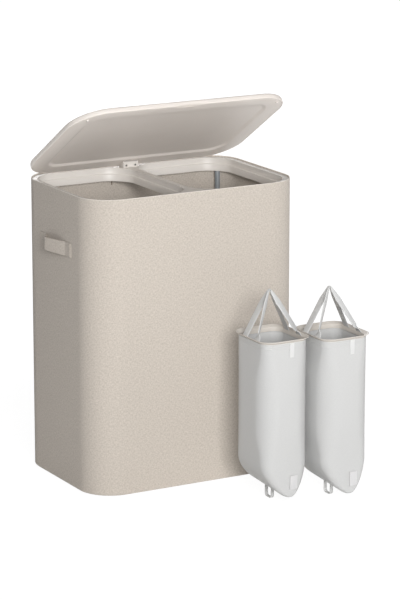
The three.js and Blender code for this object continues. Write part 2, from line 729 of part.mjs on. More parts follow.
// The lid's pieces are drawn closed in the hamper's frame, inside a group that turns about the hinge.
const lidTurn = new THREE.Group();
lidTurn.position.set(0, hingeY, hingeZ);
lidTurn.rotation.x = THREE.MathUtils.degToRad(-lidAngle);
const lidClosed = new THREE.Group();
lidClosed.position.set(0, -hingeY, -hingeZ);
lidTurn.add(lidClosed);
addPiece("lid_outer_shell", makeLidShell(), moulding, lidClosed);
addPiece("lid_inner_panel", makeLidPanel(), moulding, lidClosed);
Object.entries(sides).forEach(([sideName, side]) => {
  addPiece(`lid_bumper_${sideName}`, makeBumper(side), rubber, lidClosed);
});
hamperGroup.add(lidTurn);

Object.keys(sides).forEach((sideName, i) => {
  const x = linerPlace.x + i * linerPlace.stepX;
  const y = -hamper.depth / 2 - linerPlace.ahead + i * linerPlace.stepY;
  addLiner(`liner_${sideName}`, new THREE.Vector2(x, y), hamperGroup);
});

export default hamperGroup;
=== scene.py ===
"""A laundry hamper with two bins and two liner bags, dressed for the camera around its fixed frame.

Lengths are in millimetres until a mesh is finished, and in metres from then on.
+X is to the hamper's right, +Y to its back and +Z up.
"""

import json
import logging
import math
from abc import ABC, abstractmethod
from dataclasses import dataclass, field, replace
from enum import Enum, IntEnum

import bmesh
import bpy
from mathutils import Matrix, Vector

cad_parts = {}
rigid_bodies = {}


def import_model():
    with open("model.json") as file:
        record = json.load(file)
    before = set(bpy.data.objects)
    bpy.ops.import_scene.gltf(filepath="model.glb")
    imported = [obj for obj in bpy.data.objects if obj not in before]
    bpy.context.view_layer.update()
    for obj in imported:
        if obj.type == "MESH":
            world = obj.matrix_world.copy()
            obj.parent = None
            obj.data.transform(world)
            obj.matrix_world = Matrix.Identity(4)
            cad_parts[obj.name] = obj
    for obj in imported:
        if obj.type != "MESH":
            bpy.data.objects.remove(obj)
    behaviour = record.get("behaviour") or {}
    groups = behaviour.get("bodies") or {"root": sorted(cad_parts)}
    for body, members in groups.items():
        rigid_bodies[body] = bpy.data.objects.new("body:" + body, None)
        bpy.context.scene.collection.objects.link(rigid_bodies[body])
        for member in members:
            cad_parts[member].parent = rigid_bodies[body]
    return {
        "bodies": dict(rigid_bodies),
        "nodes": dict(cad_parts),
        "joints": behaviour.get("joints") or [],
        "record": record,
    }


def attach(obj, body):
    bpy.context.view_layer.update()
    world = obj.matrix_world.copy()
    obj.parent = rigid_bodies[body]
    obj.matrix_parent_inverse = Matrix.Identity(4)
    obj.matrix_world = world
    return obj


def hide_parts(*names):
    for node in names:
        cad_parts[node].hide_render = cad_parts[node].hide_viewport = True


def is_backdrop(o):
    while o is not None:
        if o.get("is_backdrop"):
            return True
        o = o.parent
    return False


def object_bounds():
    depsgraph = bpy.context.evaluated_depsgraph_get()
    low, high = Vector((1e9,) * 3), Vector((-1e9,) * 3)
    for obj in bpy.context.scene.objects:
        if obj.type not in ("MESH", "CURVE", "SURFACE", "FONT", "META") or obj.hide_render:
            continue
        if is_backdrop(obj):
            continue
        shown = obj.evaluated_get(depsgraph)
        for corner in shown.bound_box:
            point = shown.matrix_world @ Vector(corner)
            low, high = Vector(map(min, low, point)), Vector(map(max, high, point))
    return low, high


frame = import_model()

MM = 0.001
LOG = logging.getLogger("laundry_hamper")
GAP = 0.3  # between pieces that touch
SHARP = 40.0  # edges that turn by more degrees stay sharp
SHARP_ROUND = 60.0  # the same on pieces whose edges are all rounded
MERGE = 0.01  # points that lie closer become one
LEAST_CORNER = 0.4  # radius that an outline's corners keep, and so all their points, when it is drawn in
TAPE_EDGE = 0.4  # radius of a tape's edges, as a share of its thickness
HAIR = 0.001  # the least step off a middle line
FLAT = 0.7  # a face whose normal rises more than this lies flat
OVERRUN = 6.0  # how far a cutter passes what it cuts away
RIGHT = Vector((1, 0, 0))
BACK = Vector((0, 1, 0))
UP = Vector((0, 0, 1))

Mesh = bmesh.types.BMesh
Outline = list[bmesh.types.BMEdge]
Piece = bpy.types.Object
Material = bpy.types.Material
Tree = bpy.types.NodeTree
Node = bpy.types.Node
Socket = bpy.types.NodeSocket
Profile = list[tuple[float, float]]
# A tape's middle, its direction, the direction across it, and its width.
Station = tuple[Vector, Vector, Vector, float]


class Sign(IntEnum):
    """One of two ways along an axis, worth -1 or 1."""

    @property
    def word(self) -> str:
        """How it stands in a node's name."""
        return self.name.lower()


class Side(Sign):
    """A way along X."""

    LEFT = -1
    RIGHT = 1


class End(Sign):
    """A way along Y."""

    FRONT = -1
    BACK = 1


class Grain(Enum):
    """How a pattern finds its place on a piece."""

    OBJECT = "Object"
    UV = "UV"


class Join(Enum):
    """What a boolean does with its second shape."""

    CUT = "DIFFERENCE"
    ADD = "UNION"


def linear(hex_colour: str) -> tuple[float, float, float, float]:
    """Turns an sRGB hex colour to linear.

    Args:
        hex_colour: Six hex digits, such as "d4cbc0".

    Returns:
        Red, green, blue and an alpha of 1.
    """
    parts = [int(hex_colour[i : i + 2], 16) / 255 for i in (0, 2, 4)]
    red, green, blue = (c / 12.92 if c <= 0.04045 else ((c + 0.055) / 1.055) ** 2.4 for c in parts)
    return red, green, blue, 1.0


def ease(share: float) -> float:
    """Turns a steady share, from 0 to 1, to one that starts and ends gently."""
    return share * share * (3 - 2 * share)


@dataclass(frozen=True)
class Plan:
    """A rectangle with round corners, seen from above."""

    width: float  # size along X
    depth: float  # size along Y
    corner: float  # radius of its corners
    x: float = 0.0  # its middle along X
    y: float = 0.0  # its middle along Y
    steps: int = 20  # facets to each corner
    tilt: float = 0.0  # rise to the back, for each millimetre

    def inset(self, amount: float) -> "Plan":
        """Draws the plan in by an amount all round."""
        width, depth = self.width - 2 * amount, self.depth - 2 * amount
        return replace(self, width=width, depth=depth, corner=max(self.corner - amount, LEAST_CORNER))

    def along(self, x: float, y: float) -> float:
        """Finds how far round the plan a point lies, from the middle of its back.

        Args:
            x: Place along X.
            y: Place along Y.

        Returns:
            The distance along the outline, negative on the left half.
        """
        half_w, half_d = self.width / 2, self.depth / 2
        flat_w, flat_d = half_w - self.corner, half_d - self.corner
        dx, dy = abs(x - self.x), y - self.y
        quarter = self.corner * math.pi / 2
        if dx <= flat_w:
            run = dx if dy > 0 else 2 * flat_w + 2 * flat_d + 2 * quarter - dx
        elif abs(dy) <= flat_d:
            run = flat_w + quarter + flat_d - dy
        else:
            turn = math.atan2(dx - flat_w, abs(dy) - flat_d) * self.corner
            run = flat_w + turn if dy > 0 else flat_w + 2 * quarter + 2 * flat_d - turn
        return math.copysign(run, x - self.x)


def ring(bm: Mesh, plan: Plan, z: float) -> Outline:
    """Adds the outline of a plan at a height.

    Args:
        bm: The mesh to add to.
        plan: The outline.
        z: Its height.

    Returns:
        The edges of the outline.
    """
    size = Matrix.Diagonal((plan.width, plan.depth, 1, 1))
    size[2][1] = plan.depth * plan.tilt
    place = Matrix.Translation((plan.x, plan.y, z)) @ size
    corners = bmesh.ops.create_grid(bm, x_segments=1, y_segments=1, size=0.5, matrix=place)["verts"]
    # A corner leaves a sliver of both its sides, so that no two points of the outline meet.
    reach = min(plan.corner, plan.width / 2 - MERGE, plan.depth / 2 - MERGE)
    made = bmesh.ops.bevel(
        bm, geom=corners, offset=reach, segments=plan.steps, profile=0.5, affect="VERTICES", material=-1
    )
    face = max(made["verts"][0].link_faces, key=lambda f: len(f.verts))
    edges = list(face.edges)
    bmesh.ops.delete(bm, geom=[face], context="FACES_ONLY")
    return edges


def section(bm: Mesh, plan: Plan, place: Matrix) -> Outline:
    """Adds the outline of a plan, turned and moved to its place.

    Args:
        bm: The mesh to add to.
        plan: The outline.
        place: Where it goes.

    Returns:
        The edges of the outline.
    """
    edges = ring(bm, plan, 0.0)
    bmesh.ops.transform(bm, matrix=place, verts=list({v for edge in edges for v in edge.verts}))
    return edges


def skin(bm: Mesh, loops: list[Outline], closed: bool = False) -> None:
    """Joins outlines in their order with faces.

    Args:
        bm: The mesh that holds them.
        loops: The edges of each outline.
        closed: Whether the last outline joins the first. If it doesn't, both ends get a face.
    """
    pairs = list(zip(loops, loops[1:]))
    if closed:
        pairs.append((loops[-1], loops[0]))
    for first, second in pairs:
        bmesh.ops.bridge_loops(bm, edges=first + second)
    if not closed:
        for loop in (loops[0], loops[-1]):
            bmesh.ops.contextual_create(bm, geom=loop)


def loft(levels: list[tuple[Plan, float]], closed: bool = False) -> Mesh:
    """Makes the shape that passes through outlines at their heights.

    Args:
        levels: Plans and heights, in order.
        closed: Whether the last outline joins the first.

    Returns:
        The new mesh.
    """
    bm = bmesh.new()
    skin(bm, [ring(bm, plan, z) for plan, z in levels], closed)
    return bm


def insets(plan: Plan, profile: Profile) -> list[tuple[Plan, float]]:
    """Turns a profile of (inset, height) pairs to the levels of a loft."""
    return [(plan.inset(inset), z) for inset, z in profile]


def bend(inset: float, z: float, radius: float, start: float, end: float, steps: int = 6) -> Profile:
    """Makes the points of a round stretch of a profile.

    Args:
        inset: The centre's inset.
        z: The centre's height.
        radius: The radius.
        start: First angle, in quarters of a turn.
        end: Last angle, in quarters of a turn.
        steps: Facets of the stretch.

    Returns:
        Points as (inset, height) pairs.
    """
    turns = [(start + (end - start) * i / steps) * math.pi / 2 for i in range(steps + 1)]
    return [(inset + radius * math.cos(t), z + radius * math.sin(t)) for t in turns]


def block(low: Vector, high: Vector) -> Mesh:
    """Makes a box.

    Args:
        low: Its left, front and lower corner.
        high: The corner across from that.

    Returns:
        The new mesh.
    """
    place = Matrix.Translation((low + high) / 2) @ Matrix.Diagonal((*(high - low), 1))
    bm = bmesh.new()
    bmesh.ops.create_cube(bm, size=1, matrix=place)
    return bm


def prism(outline: list[Vector], reach: Vector) -> Mesh:
    """Makes the solid that a flat outline sweeps when it moves.

    Args:
        outline: The outline's corners, in order.
        reach: How far it moves.

    Returns:
        The new mesh.
    """
    bm = bmesh.new()
    face = bm.faces.new([bm.verts.new(corner) for corner in outline])
    made = bmesh.ops.extrude_face_region(bm, geom=[face])["geom"]
    bmesh.ops.translate(bm, vec=reach, verts=[v for v in made if isinstance(v, bmesh.types.BMVert)])
    bmesh.ops.recalc_face_normals(bm, faces=bm.faces)
    return bm


def rod(bm: Mesh, profile: Profile, start: Vector, axis: Vector, sides: int = 40) -> None:
    """Adds a turned body.

    Args:
        bm: The mesh to add to.
        profile: Points as (radius, distance along the axis), on the axis at both ends.
        start: Where the profile's distance is 0.
        axis: The direction of the axis.
        sides: Facets round it.
    """
    across = axis.orthogonal().normalized()
    verts = [bm.verts.new(start + across * radius + axis * along) for radius, along in profile]
    edges = [bm.edges.new(pair) for pair in zip(verts, verts[1:])]
    turn = 2 * math.pi
    bmesh.ops.spin(bm, geom=verts + edges, cent=start, axis=axis, angle=turn, steps=sides, use_merge=True)


def drum(radius: float, length: float, start: Vector, axis: Vector, sides: int = 40) -> Mesh:
    """Makes a plain cylinder.

    Args:
        radius: Its radius.
        length: Its length.
        start: The middle of its first end.
        axis: Its direction.
        sides: Facets round it.

    Returns:
        The new mesh.
    """
    bm = bmesh.new()
    rod(bm, [(0, 0), (radius, 0), (radius, length), (0, length)], start, axis, sides)
    return bm


def soften(bm: Mesh, radius: float, angle: float = 30.0) -> None:
    """Rounds the edges of a mesh.

    Args:
        bm: The mesh.
        radius: The radius.
        angle: Only edges that turn by more degrees are rounded.
    """
    bm.normal_update()
    sharp = [e for e in bm.edges if e.is_manifold and e.calc_face_angle(0) > math.radians(angle)]
    shape = {"segments": 3, "profile": 0.5, "affect": "EDGES", "material": -1, "clamp_overlap": True}
    bmesh.ops.bevel(bm, geom=sharp, offset=radius, **shape)


def finish_mesh(name: str, bm: Mesh, sharp: float = SHARP) -> Piece:
    """Turns a mesh in millimetres to an object in metres at the origin.

    Args:
        name: The piece's name.
        bm: The mesh, which is freed.
        sharp: Edges with a larger angle, in degrees, stay sharp.

    Returns:
        The new object.
    """
    bmesh.ops.remove_doubles(bm, verts=bm.verts, dist=MERGE)
    bmesh.ops.recalc_face_normals(bm, faces=bm.faces)
    bmesh.ops.scale(bm, vec=(MM, MM, MM), verts=bm.verts)
    mesh = bpy.data.meshes.new(name)
    bm.to_mesh(mesh)
    bm.free()
    mesh.shade_smooth()
    mesh.set_sharp_from_angle(angle=math.radians(sharp))
    piece = bpy.data.objects.new(name, mesh)
    bpy.context.scene.collection.objects.link(piece)
    return piece


def combine(piece: Piece, shape: Mesh, how: Join = Join.CUT) -> None:
    """Joins a shape in millimetres with a piece, or cuts it away, and applies the change.

    Args:
        piece: The piece to change.
        shape: The shape, which is freed.
        how: What to do with the shape.
    """
    tool = finish_mesh("tool", shape)
    change = piece.modifiers.new("combine", "BOOLEAN")
    change.object = tool
    change.operation = how.value
    change.solver = "EXACT"
    changed = piece.evaluated_get(bpy.context.evaluated_depsgraph_get())
    mesh, old = bpy.data.meshes.new_from_object(changed), piece.data
    piece.modifiers.clear()
    piece.data = mesh
    bpy.data.meshes.remove(old)
    bpy.data.objects.remove(tool)
    piece.data.set_sharp_from_angle(angle=math.radians(SHARP))


def unwrap_round(piece: Piece, plan: Plan) -> None:
    """Gives a piece a UV map in metres: round its plan, and up its wall or across its floor.

    Args:
        piece: A piece made on the plan.
        plan: The plan, in millimetres.
    """
    mesh = piece.data
    layer = mesh.uv_layers.new(name="weave")
    whole = 2 * abs(plan.along(plan.x + HAIR, plan.y - plan.depth / 2))
    for polygon in mesh.polygons:
        corners = [mesh.vertices[mesh.loops[i].vertex_index].co / MM for i in polygon.loop_indices]
        runs = [plan.along(c.x, c.y) for c in corners]
        # A face across the seam, in the middle of the front, goes on past the whole way round.
        if max(runs) - min(runs) > whole / 2:
            runs = [run + whole if run < 0 else run for run in runs]
        flat = abs(polygon.normal.z) > FLAT
        for index, corner, run in zip(polygon.loop_indices, corners, runs):
            u, v = (corner.x, corner.y) if flat else (run, corner.z)
            layer.data[index].uv = (u * MM, v * MM)


def unwrap_flat(piece: Piece, along: Vector, across: Vector) -> None:
    """Gives a flat piece a UV map in metres.

    Args:
        piece: The piece.
        along: The direction of U, in which its threads run.
        across: The direction of V.
    """
    layer = piece.data.uv_layers.new(name="weave")
    for loop, uv in zip(piece.data.loops, layer.data):
        place = piece.data.vertices[loop.vertex_index].co
        uv.uv = (place.dot(along), place.dot(across))


def tape(stations: list[Station], thickness: float) -> Mesh:
    """Sweeps a flat tape through its stations.

    Args:
        stations: The stations, in order.
        thickness: The tape's thickness.

    Returns:
        The new mesh.
    """
    bm = bmesh.new()
    loops = []
    for middle, ahead, across, width in stations:
        turn = Matrix((across, ahead.cross(across), ahead)).transposed().to_4x4()
        plan = Plan(width, thickness, thickness * TAPE_EDGE, steps=3)
        loops.append(section(bm, plan, Matrix.Translation(middle) @ turn))
    skin(bm, loops)
    return bm


def dress(piece: Piece, finish: Material, body: str, node: str) -> None:
    """Gives a piece its finish, its body and the node it stands for.

    Args:
        piece: The piece.
        finish: Its material.
        body: The body it rides on.
        node: The node that it replaces.
    """
    piece.data.materials.clear()
    piece.data.materials.append(finish)
    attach(piece, body)
    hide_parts(node)
    LOG.info("%s rides on %s, %d faces", piece.name, body, len(piece.data.polygons))


def add_node(
    tree: Tree, kind: str, inputs: dict[str | int, object] | None = None, **settings: str | bool
) -> Node:
    """Adds a shader node.

    Args:
        tree: The node tree.
        kind: The node's type, without its ShaderNode prefix.
        inputs: For each input, by name or number, the value or the socket that feeds it.
        **settings: The node's own settings.

    Returns:
        The new node.
    """
    node = tree.nodes.new("ShaderNode" + kind)
    for name, value in settings.items():
        setattr(node, name, value)
    for name, value in (inputs or {}).items():
        if isinstance(value, Socket):
            tree.links.new(value, node.inputs[name])
        else:
            node.inputs[name].default_value = value
    return node


def wave_scale(period_mm: float) -> float:
    """Works out a wave texture's scale for a real period, in millimetres, on coordinates in metres."""
    return 2 * math.pi / (20 * period_mm * MM)


def noise_scale(feature_mm: float) -> float:
    """Works out a noise texture's scale for a real size of its blotches, in millimetres."""
    return 1 / (feature_mm * MM)


@dataclass(frozen=True)
class Finish(ABC):
    """What every finish shares: its name, its colours and how rough it is."""

    name: str  # what the real material is and how its surface was made
    light: str  # the colour of its raised or paler places
    dark: str  # the colour of its hollows or deeper places
    roughness: float = 0.5  # middle of its roughness
    ior: float = 1.5  # its index of refraction
    metallic: float = 0.0  # 1 for bare metal
    sheen: float = 0.0  # how much fine fibre lifts its edges
    grain: Grain = Grain.OBJECT  # how its pattern finds its place

    @abstractmethod
    def build(self) -> Material:
        """Makes the material."""

    def start(self) -> tuple[Material, Tree, Node, Socket]:
        """Starts the material, with what all finishes share.

        Returns:
            The material, its tree, its shader and the coordinates of its pattern.
        """
        material = bpy.data.materials.new(self.name)
        material.use_nodes = True
        material.diffuse_color = linear(self.light)
        tree = material.node_tree
        shader = tree.nodes["Principled BSDF"]
        shared = {"IOR": self.ior, "Metallic": self.metallic, "Roughness": self.roughness}
        for name, value in (shared | {"Sheen Weight": self.sheen, "Sheen Roughness": 0.5}).items():
            shader.inputs[name].default_value = value
        return material, tree, shader, add_node(tree, "TexCoord").outputs[self.grain.value]

    def colour_by(self, tree: Tree, shader: Node, amount: Socket) -> None:
        """Colours the surface.

        Args:
            tree: The material's tree.
            shader: Its shader.
            amount: How much of the light colour there is.
        """
        colours = {"Fac": amount, "Color1": linear(self.dark), "Color2": linear(self.light)}
        mix = add_node(tree, "MixRGB", colours)
        tree.links.new(mix.outputs["Color"], shader.inputs["Base Color"])

    def bump_by(self, tree: Tree, shader: Node, height: Socket, depth_mm: float) -> None:
        """Raises the surface.

        Args:
            tree: The material's tree.
            shader: Its shader.
            height: The height, where 1 is the whole depth.
            depth_mm: The depth, in millimetres.
        """
        bump = add_node(tree, "Bump", {"Height": height, "Strength": 1.0, "Distance": depth_mm * MM})
        tree.links.new(bump.outputs["Normal"], shader.inputs["Normal"])


@dataclass(frozen=True)
class WovenCloth(Finish):
    """Plain-woven cloth, whose warp and weft cross at right angles."""

    grain: Grain = Grain.UV
    thread_mm: float = 1.6  # spacing of the threads, which is coarser than real, so that it shows
    slub_mm: float = 2.0  # width of the thicker stretches of yarn
    slub_run: float = 2.6  # how many times as long as wide these stretches are
    fleck: float = 0.5  # how strongly the yarn's colour varies, from 0 to 1
    weave_shade: float = 0.3  # how much darker than the threads the gaps between them are
    depth_mm: float = 0.25  # height of the weave
    fold_mm: float = 0.0  # the height of a folded edge, along which a highlight is painted, or 0 for none
    fold_reach_mm: float = 1.6  # how far down from it the painted highlight reaches
    rubbed: str = "f1ebe3"  # the colour of the painted highlight on the fold

    def build(self) -> Material:
        """Makes the cloth: two sets of threads, slubs along both, and flecks of colour.

        Returns:
            The new material.
        """
        material, tree, shader, place = self.start()
        run = 1 / self.slub_run
        crossing = (("X", (1.0, run, 1.0)), ("Y", (run, 1.0, 1.0)))
        spacing = {"Vector": place, "Scale": wave_scale(self.thread_mm), "Distortion": 1.2, "Detail": 1.0}
        slubs = {"Scale": noise_scale(self.slub_mm), "Detail": 3.0, "Roughness": 0.6}
        threads, yarns = [], []
        for direction, stretch in crossing:
            threads.append(add_node(tree, "TexWave", spacing, bands_direction=direction).outputs["Fac"])
            drawn = add_node(tree, "VectorMath", {0: place, 1: stretch}, operation="MULTIPLY").outputs[0]
            yarns.append(add_node(tree, "TexNoise", {"Vector": drawn, **slubs}).outputs["Fac"])
        weave = add_node(tree, "Math", dict(enumerate(threads)), operation="MAXIMUM").outputs[0]
        yarn = add_node(tree, "Math", dict(enumerate(yarns)), operation="ADD").outputs[0]
        # Two noises together lie mostly between 0.75 and 1.25.
        reach = {"From Min": 0.75, "From Max": 1.25, "To Min": 0.5 - self.fleck, "To Max": 0.5 + self.fleck}
        fleck = add_node(tree, "MapRange", {"Value": yarn, **reach}).outputs[0]
        half = self.weave_shade / 2
        shade = add_node(tree, "MapRange", {"Value": weave, "To Min": -half, "To Max": half}).outputs[0]
        amount = add_node(tree, "Math", {0: fleck, 1: shade}, operation="ADD", use_clamp=True).outputs[0]
        self.colour_by(tree, shader, amount)
        # A painted highlight: the colour turns paler along the folded top edge.
        if self.fold_mm:
            self.rub_fold(tree, shader)
        relief = add_node(tree, "Math", {0: weave, 1: fleck}, operation="ADD").outputs[0]
        self.bump_by(tree, shader, relief, self.depth_mm)
        return material

    def rub_fold(self, tree: Tree, shader: Node) -> None:
        """Paints a highlight along a folded edge at one height, as a paler colour.

        Args:
            tree: The material's tree.
            shader: Its shader, which has its colour.
        """
        place = add_node(tree, "TexCoord").outputs[Grain.OBJECT.value]
        height = add_node(tree, "SeparateXYZ", {0: place}).outputs["Z"]
        low = (self.fold_mm - self.fold_reach_mm) * MM
        near = add_node(tree, "MapRange", {"Value": height, "From Min": low, "From Max": self.fold_mm * MM})
        # The paler colour near the fold is a painted highlight.
        plain = shader.inputs["Base Color"].links[0].from_socket
        mix = {"Fac": near.outputs[0], "Color1": plain, "Color2": linear(self.rubbed)}
        tree.links.new(add_node(tree, "MixRGB", mix).outputs["Color"], shader.inputs["Base Color"])


@dataclass(frozen=True)
class Moulding(Finish):
    """A moulded or coated surface with a fine grain, which breaks up its highlights."""

    grain_mm: float = 0.9  # size of the grain, which is coarser than real, so that it shows
    depth_mm: float = 0.02  # depth of the grain
    flow_mm: float = 60.0  # size of the faint cloudiness that the melt leaves
    rough_spread: float = 0.12  # how much rougher than its hollows the tops of the grain are

    def build(self) -> Material:
        """Makes the surface: grain in its bump and roughness, and a faint cloudiness in its colour.

        Returns:
            The new material.
        """
        material, tree, shader, place = self.start()
        patterns = ({"Vector": place, "Scale": noise_scale(mm)} for mm in (self.grain_mm, self.flow_mm))
        grain, flow = (add_node(tree, "TexNoise", inputs).outputs["Fac"] for inputs in patterns)
        self.colour_by(tree, shader, flow)
        low, high = self.roughness - self.rough_spread / 2, self.roughness + self.rough_spread / 2
        rough = add_node(tree, "MapRange", {"Value": grain, "To Min": low, "To Max": high}).outputs[0]
        tree.links.new(rough, shader.inputs["Roughness"])
        self.bump_by(tree, shader, grain, self.depth_mm)
        return material


@dataclass(frozen=True)
class Tape(Finish):
    """Narrow woven tape, ribbed across, with a firm edge on both sides."""

    grain: Grain = Grain.UV
    rib_mm: float = 1.5  # spacing of the ribs
    thread_share: float = 0.7  # spacing of the threads along it, as a share of the ribs'
    depth_mm: float = 0.12  # height of the ribs

    def build(self) -> Material:
        """Makes the tape: ribs across it and finer threads along it.

        Returns:
            The new material.
        """
        material, tree, shader, place = self.start()
        ribs = {"Vector": place, "Scale": wave_scale(self.rib_mm), "Distortion": 0.6, "Detail": 1.0}
        rib = add_node(tree, "TexWave", ribs, bands_direction="X").outputs["Fac"]
        threads = {"Vector": place, "Scale": wave_scale(self.rib_mm * self.thread_share), "Distortion": 0.4}
        thread = add_node(tree, "TexWave", threads, bands_direction="Y").outputs["Fac"]
        weave = add_node(tree, "Math", {0: rib, 1: thread}, operation="ADD").outputs[0]
        amount = add_node(tree, "Math", {0: weave, 1: 0.5}, operation="MULTIPLY", use_clamp=True).outputs[0]
        self.colour_by(tree, shader, amount)
        self.bump_by(tree, shader, amount, self.depth_mm)
        return material


@dataclass(frozen=True)
class Body:
    """Sizes that the hamper's sub-assemblies share."""

    width: float = 520.0  # across the fabric
    depth: float = 360.0  # from the fabric's front to its back
    height: float = 660.0  # of the fabric's folded top
    corner: float = 77.0  # radius of the fabric's corners, seen from above
    wall: float = 2.0  # thickness of the fabric
    floor: float = 3.0  # thickness of the fabric under the board
    frame_recess: float = 3.0  # from the fabric's top down to the frame
    hinge_back: float = 20.5  # from the back to the hinge pin
    hinge_rise: float = 11.0  # from the frame up to the pin
    pin_hole: float = 2.8  # radius of the pin's holes
    screw_spread: float = 11.5  # from the middle to a screw
    screw_rise: float = 5.6  # from the frame up to a screw
    screw_hole: float = 1.6  # radius of a hole for a screw's shank
    lid_angle: float = 31.7  # how far the lid is held open, in degrees
    # Width, thickness and height of the frame's tongue, which carries the hinge.
    tongue: Vector = field(default_factory=lambda: Vector((30.0, 5.0, 9.0)))
    tongue_front: float = 148.0  # place of the tongue's front along Y

    @property
    def cover(self) -> Plan:
        """The outline of the fabric."""
        return Plan(self.width, self.depth, self.corner)

    @property
    def inside(self) -> Plan:
        """The outline of the frames, inside the fabric."""
        return self.cover.inset(self.wall + GAP)

    @property
    def frame_top(self) -> float:
        """The height of the top frame's flange."""
        return self.height - self.frame_recess

    @property
    def hinge(self) -> Vector:
        """The middle of the hinge pin."""
        return Vector((0, self.depth / 2 - self.hinge_back, self.frame_top + self.hinge_rise))


BODY = Body()


def made(finish: Finish) -> Material:
    """Declares a finish that is built once, when the finishes are."""
    return field(default_factory=finish.build)


@dataclass(frozen=True)
class Finishes:
    """Every finish of the hamper and its liners, built once."""

    # Crossing yarn in two tones, with slubs: dry, uneven and warm, with a painted highlight along its
    # folded top edge.
    linen: Material = made(
        WovenCloth(
            "linen_look_polyester", "d0c7bd", "b8afa4", 0.95, sheen=0.1, fleck=0.6, fold_mm=BODY.height
        )
    )
    # Satin plastic with a fine grain: broad, soft highlights along its round edges.
    frame_plastic: Material = made(Moulding("polypropylene_frame", "d9d4ce", "d4cfc9", 0.42))
    # The same plastic, paler, with a slightly duller grain: the even field under the lid.
    lid_plastic: Material = made(Moulding("polypropylene_lid", "ebe3dc", "e7dfd7", 0.45))
    # Cool grey coating, smoother than the plastics: a narrow highlight down each tube.
    tube: Material = made(Moulding("powder_coated_tube", "8f9498", "858a8e", 0.38, grain_mm=0.6))
    # Plated steel: small bright glints on the screws and the ends of the pin.
    steel: Material = made(Moulding("zinc_plated_steel", "a6a6a4", "8e8e8c", 0.32, metallic=1.0))
    # Soft moulding without shine: the bumpers stay quiet against the lid.
    rubber: Material = made(Moulding("moulded_rubber", "dfd9d3", "d7d1ca", 0.6, depth_mm=0.01))
    # Pressed fibres: matt and slightly blotched, as a bare board is.
    board: Material = made(
        Moulding("fibreboard_pressed", "c4bbae", "b3a999", 0.9, grain_mm=1.4, flow_mm=9)
    )
    # Tight thin cloth with a coating: a smooth, cool grey that hardly shows its threads.
    liner: Material = made(
        WovenCloth(
            "coated_nylon_taffeta",
            "c8c8c7",
            "c2c2c1",
            0.7,
            sheen=0.05,
            thread_mm=0.9,
            fleck=0.3,
            depth_mm=0.04,
        )
    )
    # Plain satin plastic, a little duller than the frame's: a warm rim round the cool bag.
    rim_plastic: Material = made(Moulding("polypropylene_rim", "dcd6ce", "d6cfc6", 0.5))
    # Ribbed tape: fine lines across the straps, which read as webbing where they twist.
    webbing: Material = made(Tape("polyester_webbing", "dededd", "cfcfce", 0.8, sheen=0.05))
    # Satin weave: flat and faintly shiny, so that the label stands out from the bag.
    label: Material = made(
        Tape("satin_ribbon", "d5d4d4", "cfcece", 0.55, rib_mm=0.8, depth_mm=0.02)
    )
    # Spun yarn a shade darker than the linen: the sewing shows as small dashes.
    thread: Material = made(Moulding("spun_polyester_thread", "c9bfb3", "b9aea1", 0.85))
    # Thick dark yarn: the one brown mark on the inner wall.
    tack: Material = made(Moulding("bonded_brown_thread", "85776a", "74675b", 0.85))


@dataclass
class SubAssembly(ABC):
    """A part that is built by itself, from the finishes that all parts share."""

    finishes: Finishes

    @abstractmethod
    def build(self) -> None:
        """Builds its pieces and dresses them."""


@dataclass
class OuterSleeve(SubAssembly):
    """The woven cover: a cup with a soft foot and a folded hem."""

    seam_x: float = -30.0  # place of the tack that ends the seam on the inner back wall
    seam_top: float = 626.5  # height of the tack's top
    # Width, depth and height of the tack.
    tack: Vector = field(default_factory=lambda: Vector((2.4, 1.2, 13.0)))

    def build(self) -> None:
        """Builds the cover and its tack."""
        foot = bend(BODY.floor, BODY.floor, BODY.floor, -1, -2)
        hem = bend(BODY.wall / 2, BODY.height - BODY.wall / 2, BODY.wall / 2, 2, 0, steps=8)
        # The inner foot is rounded too, as cloth is where it turns from wall to floor.
        inner = bend(BODY.wall + BODY.floor, 2 * BODY.floor, BODY.floor, 2, 3)
        sleeve = finish_mesh("outer_sleeve", loft(insets(BODY.cover, foot + hem + inner)))
        unwrap_round(sleeve, BODY.cover)
        dress(sleeve, self.finishes.linen, "hamper", "outer_sleeve")
        wall = BODY.depth / 2 - BODY.wall - GAP
        low = Vector((self.seam_x - self.tack.x / 2, wall - self.tack.y, self.seam_top - self.tack.z))
        thread = block(low, low + self.tack)
        soften(thread, self.tack.y / 3)
        tack = finish_mesh("sleeve_seam_tack", thread)
        dress(tack, self.finishes.tack, "hamper", "outer_sleeve")


@dataclass
class CornerPosts(SubAssembly):
    """The four tubes in the corners, open at both ends."""

    radius: float = 6.0  # outer radius
    bore: float = 4.8  # inner radius
    wall: float = 1.8  # from the frame's outside to the socket
    low: float = 21.6  # height of the foot
    high: float = 641.7  # height of the top

    @property
    def places(self) -> dict[str, Vector]:
        """The feet of the tubes' axes, by the tubes' names."""
        plan = BODY.inside
        reach = (plan.corner - self.wall - GAP - self.radius) * math.sqrt(0.5)
        x, y = plan.width / 2 - plan.corner + reach, plan.depth / 2 - plan.corner + reach
        places = {}
        for side in Side:
            for end in End:
                places[f"post_{end.word}_{side.word}"] = Vector((side * x, end * y, self.low))
        return places

    def build(self) -> None:
        """Builds the tubes."""
        length = self.high - self.low
        middle, radius = (self.radius + self.bore) / 2, (self.radius - self.bore) / 2
        lip = [(middle + x, z) for x, z in bend(0, 0, radius, 2, 4)]
        foot = [(r, radius + z) for r, z in lip]
        top = [(2 * middle - r, length - radius - z) for r, z in lip]
        for name, place in self.places.items():
            bm = bmesh.new()
            rod(bm, foot + top + foot[:1], place, UP)
            tube = finish_mesh(name, bm, sharp=SHARP_ROUND)
            dress(tube, self.finishes.tube, "hamper", name)


